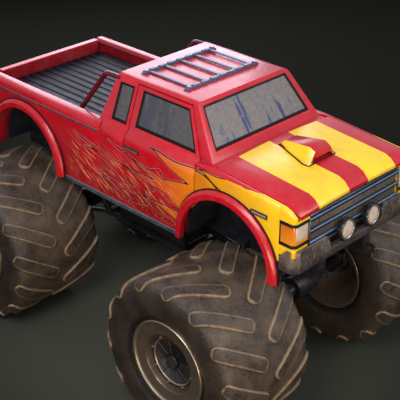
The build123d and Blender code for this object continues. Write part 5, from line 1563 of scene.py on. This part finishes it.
# Sections of the damper's pieces: distance from its foot, radius
BODY = [(0.030, 0.0), (0.030, 0.024), (0.36, 0.024), (0.375, 0.019), (0.375, 0.0)]
ROD = [(0.37, 0.0), (0.37, 0.010), (rod_end, 0.010), (rod_end, 0.0)]
COIL_SEAT = [(0.100, 0.022), (0.100, 0.040), (0.108, 0.0435), (0.116, 0.0435), (0.116, 0.022)]
CUP = [(cup, 0.0), (cup, 0.043), (cup + 0.020, 0.0435), (cup + 0.028, 0.0)]
parts = [winding]
for profile in (BODY, ROD, COIL_SEAT, CUP):
    mesh = turned_mesh("damper part", profile, 20)
    mesh.transform(y_up)
    mesh.materials.append(rod_chrome if profile is ROD else damper_black)
    parts.append(mesh)
one_damper = merged("damper", parts)
dampers = []
for axle in (AXLE_X, -AXLE_X):
    for lean in (1, -1):
        foot = (axle + lean * FOOT_OUT, COIL_Y, AXLE_Z + PIN_RISE)
        head = (axle + lean * HEAD_OUT, COIL_Y, HEAD_Z)
        dampers.append(on_its_foot(one_damper, foot, head))
dampers = both_sides("dampers", *dampers)
finished("coil_dampers", dampers, "root", replaced=["shock_absorbers"])

# ---- Cab interior -------------------------------------------------------------------------
# Two seats padded in dark woven cloth with channels sewn across them, a moulded dashboard with
# dials and vents, and a rubber-rimmed steering wheel on its column.
CLOTH_DARK, CLOTH_PALE = (0.020, 0.021, 0.026), (0.085, 0.080, 0.082)
CLOTH_WORN = (0.055, 0.050, 0.055)
# Radians of the weave's waves a metre
WEAVE_WAVES = 900.0
# Middle panels of the seats: y from and to
PANEL_Y0, PANEL_Y1 = 0.225, 0.525
# Sewn channels across the panels, and how far the cloth swells between them
CHANNEL_PITCH, CHANNEL_HALF, CHANNEL_DEPTH = 0.095, 0.014, 0.009
PAD_CROWN = 0.008
PAD_VOXEL, PAD_SMOOTHING = 0.010, 14
DASH_BLACK, DIAL_WHITE = (0.018, 0.018, 0.020), (0.42, 0.41, 0.38)
# Section of a dial: depth, radius
DIAL = [(-0.004, 0.0), (-0.004, 0.046), (0.006, 0.046), (0.008, 0.043), (0.004, 0.040), (0.004, 0.0)]
DIAL_Y, DIAL_TILT = (0.32, 0.43), math.radians(78)
# Louvre of the vent, measured from the middle of the dashboard's lower rear edge
LOUVRE_LOW, LOUVRE_HIGH = (0.006, -0.16, 0.105), (0.022, 0.10, 0.111)
LOUVRES, LOUVRE_STEP = 6, (0.0022, 0, 0.012)


def woven_cloth():
    """Plain cloth at the seats' edges and paler woven panels between their seams."""
    material, shader = new_material("seat cloth", CLOTH_DARK, 0.85)
    tree = material.node_tree
    x, y, z = object_axes(tree)
    panel = band(tree, maths(tree, "ABSOLUTE", y), PANEL_Y0, PANEL_Y1, 0.003)
    across = maths(tree, "SINE", times(tree, y, WEAVE_WAVES))
    along = maths(tree, "SINE", times(tree, maths(tree, "ADD", x, z), WEAVE_WAVES))
    tone = mixed(tree, steps_between(tree, noise(tree, 8.0, 4), 0.35, 0.65), CLOTH_PALE, CLOTH_WORN)
    feed(tree, shader.inputs["Base Color"], mixed(tree, panel, CLOTH_DARK, tone))
    bumped(tree, shader, times(tree, across, along), 0.3, 0.001)
    return material


def dip(distance):
    """Depth of a sewn channel at a distance from its seam."""
    return CHANNEL_DEPTH * max(0.0, 1 - distance / CHANNEL_HALF) ** 2


def padded(name, mesh):
    """Seats swelled between their seams, with channels sewn across the middle panels."""
    host = new_object(name, mesh)
    even = host.modifiers.new("even faces", "REMESH")
    even.mode, even.voxel_size = "VOXEL", PAD_VOXEL
    soft = host.modifiers.new("soft corners", "SMOOTH")
    soft.factor, soft.iterations = 0.5, PAD_SMOOTHING
    result = settled(host)
    moved = []
    for vertex in result.vertices:
        at, out = vertex.co, vertex.normal
        side = abs(at.y)
        lift = -dip(min(abs(side - PANEL_Y0), abs(side - PANEL_Y1)))
        if PANEL_Y0 < side < PANEL_Y1 and max(out.x, out.z) > 0.5:
            across = (2 * side - PANEL_Y0 - PANEL_Y1) / (PANEL_Y1 - PANEL_Y0)
            along = at.x if out.z > out.x else at.z
            seam = abs(along % CHANNEL_PITCH - CHANNEL_PITCH / 2)
            lift += PAD_CROWN * (1 - across ** 2) - dip(seam)
        moved.append(at + out * lift)
    for vertex, place_to in zip(result.vertices, moved):
        vertex.co = place_to
    result.polygons.foreach_set("use_smooth", [True] * len(result.polygons))
    return result


seats = padded("seat pads", rounded("seats", 0.045, 35, 5))
finished("seat_pads", seats, "root", woven_cloth(), ["seats"])
dash_black = grimy("dash moulding", DASH_BLACK, 0.5, 0.0, 0.15, 10.0)
casing("dashboard", "dash_moulding", 0.018, dash_black)
casing("steering_wheel", "steering_rim", 0.006, dash_black, 50)
dash_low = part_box("dashboard")[0]
dial_white = new_material("dial face", DIAL_WHITE, 0.3)[0]
dials = []
for y in DIAL_Y:
    dial = turned_mesh("dial", DIAL, 28)
    dial.transform(Matrix.Rotation(DIAL_TILT, 4, "Y") @ Matrix.Rotation(-math.pi / 2, 4, "X"))
    dial.transform(Matrix.Translation((dash_low.x + 0.018, y, dash_low.z + 0.135)))
    dials.append(dial)
finished("dash_dials", merged("dials", dials), "root", dial_white)
corner = Vector((dash_low.x, 0, dash_low.z))
louvre = rounded_box("louvre", corner + Vector(LOUVRE_LOW), corner + Vector(LOUVRE_HIGH), 0.002, 1)
louvre = hidden_piece("dash_louvre", louvre)
vents = from_nothing("vents", row_of(louvre, LOUVRES, LOUVRE_STEP, bezel_black))
finished("dash_vents", vents, "root")
